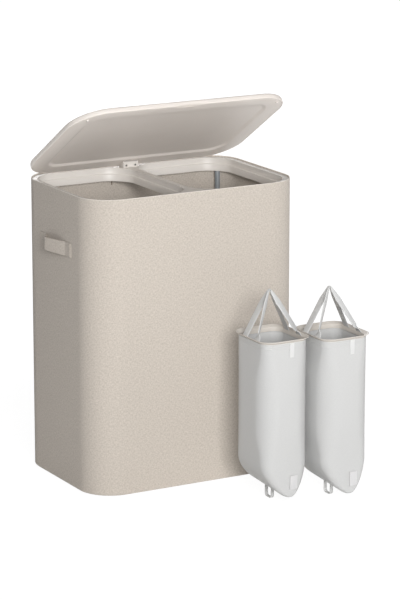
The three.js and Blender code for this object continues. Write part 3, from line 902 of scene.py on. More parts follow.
@dataclass
class TopFrame(SubAssembly):
    """The frame in the hem: two openings, skirts with a ledge, tube sockets and the hinge's tongue."""

    posts: CornerPosts  # the tubes that its sockets hold
    rim: float = 12.5  # from its outside to an opening
    divider: float = 13.0  # width of the bar between the openings
    corner: float = 64.0  # radius of an opening's corners
    flange: float = 3.0  # thickness of the top
    wall: float = 1.8  # thickness of the skirts
    edge: float = 1.2  # radius of its edges
    skirt: float = 30.0  # height of the whole frame
    ledge: float = 3.0  # how far the lower skirt stands in from the upper one
    ledge_drop: float = 13.0  # from the top down to the ledge
    ledge_slope: float = 2.0  # height of the ledge's slope
    # Where the slope's rings lie, closer together at its soft ends.
    ledge_shares: tuple[float, ...] = (0.0, 0.15, 0.35, 0.65, 0.85, 1.0)
    socket_depth: float = 15.0  # depth of a tube's socket
    socket_wall: float = 1.6  # thickness of the wall round it

    @property
    def bottom(self) -> float:
        """The height of its lower edge."""
        return BODY.frame_top - self.skirt

    def opening(self, side: Side, grow: float = 0.0) -> Mesh:
        """Makes the shape of one opening.

        Args:
            side: Which bin's.
            grow: How much larger than the opening it is.

        Returns:
            The shape, with a round flare at its top and a soft ledge.
        """
        outside, top = BODY.inside, BODY.frame_top
        width = outside.width / 2 - self.rim - self.divider / 2
        plan = Plan(width, outside.depth - 2 * self.rim, self.corner, side * (width + self.divider) / 2)
        low = top - self.ledge_drop - self.ledge_slope
        shelf = []
        for share in self.ledge_shares:
            inset = self.ledge * (1 + math.cos(math.pi * share)) / 2 - grow
            shelf.append((inset, low + self.ledge_slope * share))
        flare = bend(-grow - self.edge, top - self.edge, self.edge, 0, 1)
        below, above = (self.ledge - grow, self.bottom - OVERRUN), (flare[-1][0], top + OVERRUN)
        return loft(insets(plan, [below, *shelf, *flare, above]))

    def socket(self, foot: Vector, radius: float, low: float, high: float) -> Mesh:
        """Makes an upright cylinder round a tube's axis.

        Args:
            foot: The foot of the tube's axis.
            radius: The cylinder's radius.
            low: The height of its foot.
            high: The height of its top.

        Returns:
            The new mesh.
        """
        return drum(radius, high - low, Vector((foot.x, foot.y, low)), UP)

    def channel(self) -> Mesh:
        """Makes the hollow of its underside, which leaves the skirts and the sockets' walls.

        Returns:
            The shape to cut away.
        """
        low, high = self.bottom - OVERRUN, BODY.frame_top - self.flange
        hollow = finish_mesh("channel", loft(insets(BODY.inside, [(self.wall, low), (self.wall, high)])))
        for side in Side:
            combine(hollow, self.opening(side, self.wall))
        radius = self.posts.radius + GAP + self.socket_wall
        for foot in self.posts.places.values():
            combine(hollow, self.socket(foot, radius, low - OVERRUN, BODY.frame_top))
        bm = bmesh.new()
        bm.from_mesh(hollow.data)
        bmesh.ops.scale(bm, vec=(1 / MM, 1 / MM, 1 / MM), verts=bm.verts)
        bpy.data.objects.remove(hollow)
        return bm

    def build(self) -> None:
        """Builds the frame."""
        top, tongue, tongue_front = BODY.frame_top, BODY.tongue, BODY.tongue_front
        rounding = bend(self.edge, top - self.edge, self.edge, 2, 1)
        frame = finish_mesh("top_frame", loft(insets(BODY.inside, [(0.0, self.bottom)] + rounding)))
        combine(frame, self.channel())
        for side in Side:
            combine(frame, self.opening(side))
        for foot in self.posts.places.values():
            low, high = self.bottom - OVERRUN, self.bottom + self.socket_depth
            combine(frame, self.socket(foot, self.posts.radius + GAP, low, high))
        low = Vector((-tongue.x / 2, tongue_front, top - self.flange / 2))
        high = Vector((tongue.x / 2, tongue_front + tongue.y, top + tongue.z))
        combine(frame, block(low, high), Join.ADD)
        for side in Side:
            start = Vector((side * BODY.screw_spread, tongue_front - OVERRUN, top + BODY.screw_rise))
            combine(frame, drum(BODY.screw_hole, tongue.y + 2 * OVERRUN, start, BACK))
        dress(frame, self.finishes.frame_plastic, "hamper", "top_frame")


@dataclass
class SideHandle(SubAssembly):
    """A folded fabric handle: flat sewn tabs and a bulge that leaves room for the fingers."""

    height: float = 32.0  # height of the band
    thickness: float = 2.4  # thickness of the folded cloth
    edge: float = 0.1  # how much less than half its thickness the radius of its edges is
    tab: float = 26.0  # length of each sewn tab
    span: float = 98.0  # length of the free part
    bulge: float = 15.0  # how far the free part stands off
    peak: float = 20.0  # where along Y it stands off most, as a slack band does behind its middle
    fullness: float = 1.3  # how far its front part bows out from a straight slope, from 1 for none
    drop: float = 125.0  # from the hamper's top down to its middle
    pinch: float = 3.0  # how much lower the free part's middle is than its tabs, as the fold gathers
    end_thickness: float = 0.9  # thickness of the band's pressed ends
    end_run: float = 6.5  # length over which it thins to that
    steps: int = 96  # lengths that the band is made of
    stitch: float = 0.35  # radius of the sewing thread
    stitch_inset: float = 4.0  # from a tab's edge to the sewing
    stitch_run: float = 3.6  # length of a stitch
    stitch_rest: float = 1.6  # from the end of a stitch to the next one

    @property
    def middle(self) -> float:
        """The height of its middle."""
        return BODY.height - self.drop

    def stand_off(self, y: float) -> float:
        """Finds how far the band stands off the wall.

        Args:
            y: The place along Y.

        Returns:
            The distance from where the tabs lie.
        """
        half = self.span / 2
        if abs(y) >= half:
            return 0.0
        if y < self.peak:
            return self.bulge * (1 - ((self.peak - y) / (self.peak + half)) ** self.fullness)
        return self.bulge * ease((half - y) / (half - self.peak))

    def band(self, side: Side) -> Mesh:
        """Makes the band as a rounded section swept along Y.

        Args:
            side: Which handle's.

        Returns:
            The new mesh.
        """
        end = self.span / 2 + self.tab
        # The section is drawn flat and then stood up: its Y becomes the height.
        turn = Matrix(((side, 0, 0, 0), (0, 0, 1, 0), (0, 1, 0, 0), (0, 0, 0, 1)))
        bm = bmesh.new()
        loops = []
        for i in range(self.steps + 1):
            y = -end + 2 * end * i / self.steps
            off = self.stand_off(y)
            tall = self.height - self.pinch * off / self.bulge
            pressed = max(abs(y) - end + self.end_run, 0.0) / self.end_run
            thick = self.thickness - (self.thickness - self.end_thickness) * pressed
            x = side * (BODY.width / 2 + GAP + thick / 2 + off)
            plan = Plan(thick, tall, thick / 2 - self.edge, steps=4)
            loops.append(section(bm, plan, Matrix.Translation((x, y, self.middle)) @ turn))
        skin(bm, loops)
        return bm

    def stitches(self, side: Side) -> Mesh:
        """Makes the boxes of thread that hold the tabs.

        Args:
            side: Which handle's.

        Returns:
            The new mesh.
        """
        bm = bmesh.new()
        far = side * (BODY.width / 2 + GAP + self.thickness)
        inner, outer = self.span / 2 + self.stitch_inset, self.span / 2 + self.tab - self.stitch_inset
        reach = self.height / 2 - self.stitch_inset
        low, high = self.middle - reach, self.middle + reach
        corners = [(inner, low), (outer, low), (outer, high), (inner, high)]
        pace = self.stitch_run + self.stitch_rest
        for end in End:
            for (y0, z0), (y1, z1) in zip(corners, corners[1:] + corners[:1]):
                axis = Vector((0, end * (y1 - y0), z1 - z0)).normalized()
                for i in range(round(math.hypot(y1 - y0, z1 - z0) / pace)):
                    start = Vector((far, end * y0, z0)) + axis * (i * pace + self.stitch_rest / 2)
                    rod(bm, self.thread_profile(), start, axis, sides=8)
        return bm

    def thread_profile(self) -> Profile:
        """Draws one stitch: a thread with round ends."""
        cap = bend(0, self.stitch, self.stitch, -1, 0, steps=3)
        return cap + [(r, self.stitch_run - z) for r, z in reversed(cap)]

    def build(self) -> None:
        """Builds both handles with their sewing."""
        for side in Side:
            node = f"side_handle_{side.word}"
            band = finish_mesh(node, self.band(side))
            unwrap_flat(band, BACK, UP)
            dress(band, self.finishes.linen, "hamper", node)
            thread = finish_mesh(f"side_handle_stitching_{side.word}", self.stitches(side))
            dress(thread, self.finishes.thread, "hamper", node)


@dataclass
class HingeHousing(SubAssembly):
    """The block that holds the pin: a round nose, two screw holes, and a pocket for the frame's tongue."""

    length: float = 19.5  # from its front to the pin
    half_width: float = 19.0  # half of its width
    barrel: float = 4.5  # radius round the pin
    nose: float = 6.0  # radius of its nose
    edge: float = 0.8  # radius of its edges
    edge_angle: float = 50.0  # edges that turn by more degrees are rounded
    facets: int = 12  # facets to the nose and to the barrel
    head_hole: float = 2.5  # radius of the hole for a screw's head
    head_depth: float = 3.4  # depth of the hole for a screw's head
    hole_facets: int = 32  # facets round a hole

    def profile(self) -> list[tuple[float, float]]:
        """Draws its side view.

        Returns:
            Points as (Y, Z) pairs.
        """
        pin, low = BODY.hinge, BODY.frame_top + GAP
        front, high = pin.y - self.length, pin.z + self.barrel
        nose = bend(front + self.nose, high - self.nose, self.nose, 2, 1, self.facets)
        barrel = bend(pin.y, pin.z, self.barrel, 1, 0, self.facets)
        return [(front, low), *nose, *barrel, (pin.y + self.barrel, low)]

    def build(self) -> None:
        """Builds the housing."""
        pin, reach = BODY.hinge, self.half_width + OVERRUN
        outline = [Vector((-self.half_width, y, z)) for y, z in self.profile()]
        solid = prism(outline, 2 * self.half_width * RIGHT)
        soften(solid, self.edge, self.edge_angle)
        housing = finish_mesh("hinge_housing", solid)
        self.drill(housing, BODY.pin_hole, 2 * reach, Vector((-reach, pin.y, pin.z)), RIGHT)
        tongue, front = BODY.tongue, BODY.tongue_front - GAP
        half, back = tongue.x / 2 + GAP, BODY.tongue_front + tongue.y + GAP
        pocket = Vector((half, back, BODY.frame_top + tongue.z + GAP))
        combine(housing, block(Vector((-half, front, BODY.frame_top - OVERRUN)), pocket))
        height = BODY.frame_top + BODY.screw_rise
        for side in Side:
            start = Vector((side * BODY.screw_spread, pin.y - self.length - OVERRUN, height))
            self.drill(housing, self.head_hole, OVERRUN + self.head_depth, start, BACK)
            self.drill(housing, BODY.screw_hole, OVERRUN + front - start.y, start, BACK)
        dress(housing, self.finishes.frame_plastic, "hamper", "hinge_housing")

    def drill(self, piece: Piece, radius: float, depth: float, start: Vector, axis: Vector) -> None:
        """Drills a round hole.

        Args:
            piece: The piece to drill.
            radius: The hole's radius.
            depth: How deep it goes from its start.
            start: The hole's start.
            axis: Its direction.
        """
        combine(piece, drum(radius, depth, start, axis, self.hole_facets))


@dataclass
class Lid(SubAssembly):
    """The lid: a crowned shell, an inner panel with a recessed field and hinge cheeks, and two bumpers.

    It is drawn closed, and then turned to the angle that it is held open at.
    """

    side_overhang: float = 6.0  # how far it passes the hamper's sides
    front_overhang: float = 1.0  # how far it passes the hamper's front
    behind: float = 7.0  # from the pin to its rear edge
    swell: float = 3.0  # how much larger its corners are than the hamper's
    lift: float = 0.6  # from the hem up to its lip
    wall: float = 2.2  # thickness of its rim
    lip: float = 2.1  # radius under its rim
    side: float = 7.4  # height of its upright side
    shoulder: float = 5.0  # radius over its side
    crown_run: float = 50.0  # how far in the crown reaches
    crown_rise: float = 2.5  # height of the crown
    skin: float = 2.4  # thickness of its top
    recess: float = 0.4  # from the lip up to the panel
    panel: float = 2.0  # thickness of the panel
    panel_edge: float = 0.5  # radius under the panel's outside
    flange: float = 34.0  # width of the panel's flat border
    step: float = 12.0  # width of the soft step inside the border
    step_depth: float = 4.0  # height of the step
    facets: int = 10  # facets to the crown and to the step
    cheek_half: float = 20.0  # from the middle to a cheek
    cheek_width: float = 5.0  # width of a cheek
    cheek_radius: float = 4.7  # radius of a cheek round the pin
    cheek_wall: float = 2.5  # thickness of the wall that joins the cheeks
    cheek_lap: float = 1.0  # how far parts that are joined there overlap
    cheek_reach: float = 23.5  # from the pin to that wall's back
    cheek_roof: float = 0.3  # gap between the cheeks and the shell
    tail_facets: int = 6  # facets to the slope behind a cheek
    scallop_width: float = 92.0  # width of the hollow for the fingers, at the lip
    scallop_height: float = 2.2  # height of its middle
    scallop_depth: float = 9.0  # how far in it reaches
    scallop_facets: int = 720  # round the cylinder that cuts it, of which only a small part cuts
    scallop_sink: float = 0.4  # how much lower it lies in the panel, as a share of the panel's thickness
    bumper: float = 3.0  # radius of a bumper
    bumper_inset: float = 11.5  # from the lid's outline to a bumper's middle, along the corner's diagonal
    bumper_edge: float = 0.7  # radius of its edge

    @property
    def front(self) -> float:
        """The place of its front edge along Y."""
        return -BODY.depth / 2 - self.front_overhang

    @property
    def rear(self) -> float:
        """The place of its rear edge along Y."""
        return BODY.hinge.y + self.behind

    @property
    def plan(self) -> Plan:
        """Its outline."""
        width = BODY.width + 2 * self.side_overhang
        corner = BODY.corner + self.swell
        return Plan(width, self.rear - self.front, corner, 0.0, (self.rear + self.front) / 2, steps=28)

    @property
    def low(self) -> float:
        """The height of its lip."""
        return BODY.height + self.lift

    @property
    def panel_low(self) -> float:
        """The height of the panel's border."""
        return self.low + self.recess

    @property
    def cheek_front(self) -> float:
        """The place of the cheeks' front along Y."""
        return BODY.hinge.y - self.cheek_reach - self.cheek_wall

    def crown(self, drop: float = 0.0) -> Profile:
        """Draws the rise from its shoulder to the middle of its top.

        Args:
            drop: How much lower it lies than the top, as its underside does.

        Returns:
            Points as (inset, height) pairs.
        """
        base = self.low + self.side + self.shoulder - drop
        shares = [i / self.facets for i in range(1, self.facets + 1)]
        rise = [base + self.crown_rise * (1 - (1 - share) ** 2) for share in shares]
        return [(self.shoulder + self.crown_run * share, z) for share, z in zip(shares, rise)]

    def scallop(self, sink: float = 0.0) -> Mesh:
        """Makes the shallow hollow under its front edge, for the fingers.

        Args:
            sink: How much lower it lies than in the shell.

        Returns:
            The solid to cut away.
        """
        radius = (self.scallop_width**2 / 4 + self.scallop_height**2) / (2 * self.scallop_height)
        start = Vector((0, self.front - OVERRUN, self.low + self.scallop_height - radius - sink))
        return drum(radius, self.scallop_depth + OVERRUN, start, BACK, self.scallop_facets)

    def shell(self) -> Piece:
        """Builds the shell, closed.

        Returns:
            The new piece.
        """
        top = self.low + self.side + self.shoulder - self.skin
        haunch = bend(self.wall + self.shoulder, top - self.shoulder, self.shoulder, 1, 2)
        lip = bend(self.lip, self.low + self.lip, self.lip, -1, -2)
        edge = bend(self.shoulder, self.low + self.side, self.shoulder, 2, 1, steps=8)
        inner = [*reversed(self.crown(self.skin)), *haunch, (self.wall, self.low + self.lip / 2)]
        profile = [*inner, (self.wall, self.low), *lip, *edge, *self.crown()]
        shell = finish_mesh("lid_outer_shell", loft(insets(self.plan, profile)))
        half = self.cheek_half + self.cheek_width + GAP
        roof = BODY.hinge.z + self.cheek_radius + self.cheek_roof
        low = Vector((-half, self.cheek_front - GAP, self.low - OVERRUN))
        combine(shell, block(low, Vector((half, self.rear + OVERRUN, roof))))
        combine(shell, self.scallop())
        return shell

    def cheek(self, side: Side) -> Mesh:
        """Makes one hinge cheek.

        Args:
            side: Which of the two.

        Returns:
            The new mesh.
        """
        pin, front, low = BODY.hinge, self.cheek_front, self.panel_low
        nose = bend(pin.y, pin.z, self.cheek_radius, 1, 0, steps=10)
        shares = [i / self.tail_facets for i in range(1, self.tail_facets + 1)]
        drop = pin.z - low
        tail = [(pin.y + self.cheek_radius * (1 - s * s), pin.z - drop * s * (2 - s)) for s in shares]
        profile = [(front, low), (front, pin.z + self.cheek_radius), *nose, *tail]
        outline = [Vector((side * self.cheek_half, y, z)) for y, z in profile]
        return prism(outline, side * self.cheek_width * RIGHT)

    def sheet(self) -> Mesh:
        """Makes the panel without its hinge: a flat border, a soft step and a recessed field.

        Returns:
            The new mesh.
        """
        inset, low = self.wall + GAP, self.panel_low
        shares = [i / self.facets for i in range(self.facets + 1)]
        rise = [(self.step * s, self.step_depth * (1 - math.cos(math.pi * s)) / 2) for s in shares]
        under = [(inset + self.flange + run, low + z) for run, z in reversed(rise)]
        over = [(inset + self.flange + run, low + self.panel + z) for run, z in rise]
        edge = bend(inset + self.panel_edge, low + self.panel_edge, self.panel_edge, -1, -2, steps=3)
        return loft(insets(self.plan, [*under, *edge, (inset, low + self.panel), *over]))

    def inner_panel(self) -> Piece:
        """Builds the inner panel with its hinge cheeks, closed.

        Returns:
            The new piece.
        """
        panel = finish_mesh("lid_inner_panel", self.sheet())
        width, pin = self.cheek_half + self.cheek_width, BODY.hinge
        low, high = self.panel_low - OVERRUN, pin.z + self.cheek_radius
        # Behind the pin the space is as wide as the cheeks. Between them it starts at their wall.
        for half, start in ((width + GAP, pin.y), (self.cheek_half, self.cheek_front + self.cheek_lap)):
            end = Vector((half, self.rear + OVERRUN, high + OVERRUN))
            combine(panel, block(Vector((-half, start, low)), end))
        for side in Side:
            combine(panel, self.cheek(side), Join.ADD)
        half = width - self.cheek_lap
        wall = Vector((half, self.cheek_front + self.cheek_wall, high))
        combine(panel, block(Vector((-half, self.cheek_front, self.panel_low)), wall), Join.ADD)
        reach = width + OVERRUN
        combine(panel, drum(BODY.pin_hole, 2 * reach, Vector((-reach, pin.y, pin.z)), RIGHT))
        combine(panel, self.scallop(self.panel * self.scallop_sink))
        return panel

    def bumpers(self) -> dict[str, Piece]:
        """Builds the two bumpers, closed.

        Returns:
            The new pieces, by their names.
        """
        plan = self.plan
        reach = (plan.corner - self.bumper_inset) * math.sqrt(0.5)
        x, y = plan.width / 2 - plan.corner + reach, self.front + plan.corner - reach
        low = BODY.frame_top + GAP
        height = self.panel_low - GAP - low
        dome = bend(self.bumper - self.bumper_edge, self.bumper_edge, self.bumper_edge, -1, 0)
        pieces = {}
        for side in Side:
            name = f"lid_bumper_{side.word}"
            bm = bmesh.new()
            rod(bm, [(0, 0), *dome, (self.bumper, height), (0, height)], Vector((side * x, y, low)), UP)
            pieces[name] = finish_mesh(name, bm)
        return pieces

    def build(self) -> None:
        """Builds the lid and turns it open."""
        shell, panel, bumpers = self.shell(), self.inner_panel(), self.bumpers()
        pin = Matrix.Translation(BODY.hinge * MM)
        opened = pin @ Matrix.Rotation(math.radians(-BODY.lid_angle), 4, "X") @ pin.inverted()
        for piece in (shell, panel, *bumpers.values()):
            piece.data.transform(opened)
        dress(shell, self.finishes.lid_plastic, "lid", "lid_outer_shell")
        dress(panel, self.finishes.lid_plastic, "lid", "lid_inner_panel")
        for name, piece in bumpers.items():
            dress(piece, self.finishes.rubber, "lid", name)


@dataclass
class CarryingStrap(SubAssembly):
    """A strap of tape: two legs that meet in a narrow fold, the front one twisted."""

    name: str  # its name, its body's and its node's
    hinge: Vector  # the middle of its feet
    side: Side  # where on the bag it stands, from which it leans to the other side
    width: float = 20.0  # width of the tape
    thickness: float = 1.6  # its thickness
    spread: float = 25.0  # from the strap's middle to the middle of a foot
    length: float = 112.0  # from the feet to the top of the fold
    tip: float = 5.0  # radius of the fold
    tip_shift: float = 13.0  # how far the fold stands behind the middle
    tip_width: float = 7.0  # width of the gathered tape at the fold
    tip_edge: float = 0.6  # radius of the fold's edges, as a share of half the tape's thickness
    lean: float = 27.3  # how far it leans in over the mouth, in degrees
    twist_from: float = 4.0  # height where the front leg starts to twist
    twist_to: float = 16.0  # height where the twist has reached its own pace
    twist_low: float = 41.0  # twist that a steady pace would give at the foot, in degrees
    twist_high: float = 57.0  # twist at the fold, in degrees
    narrow_from: float = 80.0  # height where the tape starts to gather
    steps: int = 36  # sections of a leg

    @property
    def tip_z(self) -> float:
        """The height of the fold's middle."""
        return self.length - self.tip

    def twist(self, z: float) -> float:
        """Finds how far the front leg has turned about its middle line.

        Args:
            z: The height.

        Returns:
            The turn, in radians.
        """
        share = min(max((z - self.twist_from) / (self.twist_to - self.twist_from), 0.0), 1.0)
        steady = self.twist_low + (self.twist_high - self.twist_low) * z / self.length
        return math.radians(ease(share) * steady)

    def leg(self, foot: float, head: float, twists: bool) -> Mesh:
        """Makes one leg, upright in the plane of the strap's hinge.

        Args:
            foot: Place of its foot along Y.
            head: Place of its head along Y.
            twists: Whether it twists.

        Returns:
            The new mesh.
        """
        ahead = Vector((0, head - foot, self.tip_z)).normalized()
        flat = Vector((0, ahead.z, -ahead.y))
        # It starts a tape's width below its foot, and is cut level there.
        below = self.width / self.tip_z
        stations = []
        for i in range(self.steps + 1):
            share = i / self.steps * (1 + below) - below
            z = self.tip_z * share
            turn = self.twist(z) if twists else 0.0
            across = flat * math.cos(turn) + Vector((math.sin(turn), 0, 0))
            gather = min(max((z - self.narrow_from) / (self.tip_z - self.narrow_from), 0.0), 1.0)
            width = self.width - (self.width - self.tip_width) * gather
            stations.append((Vector((0, foot + (head - foot) * share, z)), ahead, across, width))
        return tape(stations, self.thickness)

    def fold(self) -> Mesh:
        """Makes the round fold where the legs meet.

        Returns:
            The new mesh.
        """
        tip, thick = self.tip, self.thickness
        edge = thick / 2 * self.tip_edge
        rounded = [(tip - edge, 0.0), (tip, edge), (tip, thick - edge), (tip - edge, thick)]
        bm = bmesh.new()
        rod(bm, [(0, 0), *rounded, (0, thick)], Vector((-thick / 2, self.tip_shift, self.tip_z)), RIGHT)
        return bm

    def build(self) -> None:
        """Builds the strap, leaning in from its hinge."""
        head, reach = self.tip - self.tip_width / 2, 3 * self.width
        strap = finish_mesh(self.name, self.leg(self.spread, self.tip_shift + head, False))
        combine(strap, self.leg(-self.spread, self.tip_shift - head, True), Join.ADD)
        combine(strap, self.fold(), Join.ADD)
        combine(strap, block(Vector((-reach, -reach, -reach)), Vector((reach, reach, 0))))
        unwrap_flat(strap, UP, BACK)
        turn = Matrix.Rotation(math.radians(-self.side * self.lean), 4, "Y")
        strap.data.transform(Matrix.Translation(self.hinge * MM) @ turn)
        dress(strap, self.finishes.webbing, self.name, self.name)


@dataclass
class Liner(SubAssembly):
    """A lift-out liner bag with its rim, patches, bottom loop and two carrying straps."""

    side: Side  # which of the two it is
    x: float  # its middle along X
    y: float  # its middle along Y
    width: float = 111.0  # width of the bag
    depth: float = 133.0  # depth of the bag
    corner: float = 25.0  # radius of the bag's corners
    wall: float = 1.2  # thickness of the cloth
    top: float = 373.5  # height of the rim
    ridge_z: float = 26.5  # height of the ridge that the bag is drawn in to
    curve: float = 74.0  # height over which it is drawn in
    flat: float = 16.0  # width of the ridge
    ridge_round: float = 4.0  # radius of the ridge's ends
    power: float = 1.55  # how full the curve is
    slant: float = 5.5  # how much higher the ridge's back end is than its middle
    skew: float = 10.0  # how far the ridge leans to the right
    tighten: float = 0.6  # share that the corners lose at the ridge
    levels: int = 28  # rings of the drawn-in foot
    belly_out: float = 4.6  # how far the walls bow out between hem and foot, where nothing holds them
    belly_corner: float = 43.0  # radius of the corners there
    belly_drop: float = 16.0  # from the mouth down to where the walls start to bow
    belly_ease: float = 0.3  # share of the walls' height over which they come to this, above and below
    belly_rings: int = 24  # rings of these walls
    facets: int = 14  # facets to each of the bag's corners
    hem_drops: tuple[float, ...] = (4.0, 8.0, 12.0)  # depths of the hem's rows of stitches below the mouth
    hem_groove: float = 0.35  # depth of such a row
    rim_out: float = 6.2  # how far the rim stands out from the bag
    rim_flare: float = 5.0  # rise of the rim's flange to its outside
    rim_thickness: float = 1.5  # thickness of the flange
    rim_wall: float = 1.8  # thickness of the rim's collar
    rim_collar: float = 14.0  # height of the rim with its collar
    rim_turn: float = 1.44  # radius between the flange and the collar
    # Width, thickness and height of the pull tab.
    tab: Vector = field(default_factory=lambda: Vector((10.5, 1.4, 32.0)))
    tab_x: float = 9.4  # its middle, from the bag's middle
    tab_fold: float = 0.4  # from the mouth down to the tab
    # Width, thickness and height of the label.
    label: Vector = field(default_factory=lambda: Vector((19.0, 0.9, 31.0)))
    label_x: float = 16.0  # its middle, from the bag's middle
    label_z: float = 40.0  # height of its foot
    label_lift: float = 2.2  # how far its left edge stands off
    patch_edge: float = 0.4  # radius of a patch's edges, as a share of its thickness
    loop_width: float = 8.0  # width of the bottom loop's tape
    loop_thickness: float = 1.6  # its thickness
    loop_spread: float = 13.0  # distance between its two bends
    loop_radius: float = 7.0  # radius of the bends
    loop_low: float = 0.5  # height of its lowest point
    loop_x: float = 6.0  # its middle along X, from the bag's middle
    loop_y: float = 18.0  # its middle along Y, from the bag's middle
    loop_steps: int = 10  # sections of a bend

    @property
    def body(self) -> str:
        """The body that it rides on."""
        return f"liner_{self.side.word}"

    @property
    def bag_top(self) -> float:
        """The height of the bag's mouth, under the rim."""
        return self.top - self.rim_flare - self.rim_thickness - GAP

    @property
    def collar_in(self) -> float:
        """From the rim's outside to the inside of its collar."""
        return self.rim_out + self.wall + GAP + self.rim_wall

    @property
    def tilt(self) -> float:
        """Rise of the ridge to the back, for each millimetre."""
        return self.slant / (self.depth / 2)

    @property
    def mouth(self) -> Plan:
        """The outline of the bag's walls."""
        return Plan(self.width, self.depth, self.corner, self.x, self.y, self.facets)

    def foot(self, turn: float, start: float) -> tuple[Plan, float]:
        """Finds a ring of the bag's drawn-in foot.

        Args:
            turn: How far up the foot's curve it lies, in radians up to a quarter of a turn.
            start: The turn at the ridge.

        Returns:
            The bag's outline there and its height.
        """
        power = 2 / self.power
        half_width = self.width / 2 * math.sin(turn) ** power
        whole = self.curve * math.cos(start) ** power
        rise = whole - self.curve * max(math.cos(turn), 0.0) ** power
        share = 1 - rise / whole
        upright = min(rise / self.ridge_round, 1.0)
        half_depth = self.depth / 2 - self.ridge_round * (1 - math.sqrt(1 - (1 - upright) ** 2))
        corner = min(self.corner * (1 - self.tighten * share), half_width)
        x = self.x + self.skew * share**2
        plan = Plan(2 * half_width, 2 * half_depth, corner, x, self.y, self.facets, self.tilt * share)
        return plan, self.ridge_z + rise

    def belly(self, low: float) -> list[tuple[Plan, float]]:
        """Finds the rings of the walls between the foot and the hem.

        Args:
            low: The height of the foot's top.

        Returns:
            The bag's outlines and their heights.
        """
        high = self.bag_top - self.belly_drop
        rings = []
        for i in range(1, self.belly_rings):
            share = i / self.belly_rings
            full = ease(min(share / self.belly_ease, (1 - share) / self.belly_ease, 1.0))
            corner = self.corner + (self.belly_corner - self.corner) * full
            plan = replace(self.mouth.inset(-self.belly_out * full), corner=corner)
            rings.append((plan, low + (high - low) * share))
        return rings

    def bag(self) -> None:
        """Builds the cloth bag, with the rows of stitches in its hem."""
        start = math.asin((self.flat / self.width) ** (self.power / 2))
        turns = [start + (math.pi / 2 - start) * i / self.levels for i in range(self.levels + 1)]
        outside = [self.foot(turn, start) for turn in turns]
        outside += self.belly(outside[-1][1])
        inside = [(plan.inset(self.wall), z + self.wall) for plan, z in reversed(outside)]
        hem = []
        for drop in reversed(self.hem_drops):
            z, half = self.bag_top - drop, self.hem_groove * 2
            hem += [(self.mouth, z - half), (self.mouth.inset(self.hem_groove), z), (self.mouth, z + half)]
        lip = insets(self.mouth, bend(self.wall / 2, self.bag_top - self.wall / 2, self.wall / 2, 2, 0))
        name = f"{self.body}_body"
        bag = finish_mesh(name, loft(outside + hem + lip + inside), sharp=SHARP_ROUND)
        unwrap_round(bag, self.mouth)
        dress(bag, self.finishes.liner, self.body, name)

    def rim(self) -> None:
        """Builds the rim: a collar inside the mouth, and a thin flange that flares up to a round lip."""
        lip, foot, turn_in = self.rim_thickness / 2, self.rim_wall / 2, self.rim_turn
        run = self.collar_in - lip
        slope = math.atan2(self.rim_flare, run) / (math.pi / 2)
        under = (self.collar_in - self.rim_wall, self.top - self.rim_flare - self.rim_thickness)
        profile = bend(self.collar_in - foot, self.top - self.rim_collar + foot, foot, 0, -2) + [under]
        profile += bend(lip, self.top - lip, lip, 3 - slope, 1 - slope, steps=8)
        # The inner turn, from the flange down to the collar.
        dip = self.rim_flare * (run - turn_in) / run + turn_in / math.cos(slope * math.pi / 2)
        profile += bend(self.collar_in - turn_in, self.top - dip, turn_in, 1 - slope, 0, steps=5)
        name = f"{self.body}_rim"
        rim = finish_mesh(name, loft(insets(self.mouth.inset(-self.rim_out), profile), closed=True))
        dress(rim, self.finishes.rim_plastic, self.body, name)

    def patch(self, size: Vector, x: float, low: float, lift: float = 0.0) -> Mesh:
        """Makes a flat piece sewn on the bag's front, with its outer edges turned over.

        Args:
            size: Its width, thickness and height.
            x: Its middle, from the bag's middle.
            low: Height of its foot.
            lift: How far its left edge stands off.

        Returns:
            The new mesh.
        """
        face = self.y - self.depth / 2 - GAP
        start = Vector((self.x + x - size.x / 2, face - size.y, low))
        middle = start + size / 2
        bm = block(start, start + size)
        for vert in bm.verts:
            if vert.co.x < middle.x and vert.co.y < middle.y:
                vert.co.y -= lift
        soften(bm, size.y * self.patch_edge)
        return bm

    def patches(self) -> None:
        """Builds the pull tab and the bare label."""
        low = self.bag_top - self.tab.z - self.tab_fold
        tab = self.patch(self.tab, self.tab_x, low)
        label = self.patch(self.label, self.label_x, self.label_z, self.label_lift)
        for part, solid, finish in (
            ("pull_tab", tab, self.finishes.webbing),
            ("label", label, self.finishes.label),
        ):
            name = f"{self.body}_{part}"
            piece = finish_mesh(name, solid)
            unwrap_flat(piece, UP, RIGHT)
            dress(piece, finish, self.body, name)

    def bottom_loop(self) -> None:
        """Builds the loop of tape under the ridge."""
        half, reach = self.loop_spread / 2, self.loop_radius - self.loop_thickness / 2
        front = bend(-half, self.loop_low + self.loop_radius, reach, 2, 3, self.loop_steps)
        back = [(-y, z) for y, z in reversed(front)]
        # Its ends go a little way into the cloth.
        level = self.ridge_z - 2 * GAP
        ends = [(y, level + self.tilt * (self.loop_y + y)) for y in (-half - reach, half + reach)]
        path = [ends[0], *front, *back, ends[1]]
        middle = Vector((self.x + self.loop_x, self.y + self.loop_y, 0))
        stations = []
        for i, (y, z) in enumerate(path):
            (y0, z0), (y1, z1) = path[max(i - 1, 0)], path[min(i + 1, len(path) - 1)]
            ahead = Vector((0, y1 - y0, z1 - z0)).normalized()
            stations.append((middle + Vector((0, y, z)), ahead, RIGHT, self.loop_width))
        name = f"{self.body}_bottom_loop"
        loop = finish_mesh(name, tape(stations, self.loop_thickness))
        unwrap_flat(loop, BACK + UP, RIGHT)
        dress(loop, self.finishes.webbing, self.body, name)

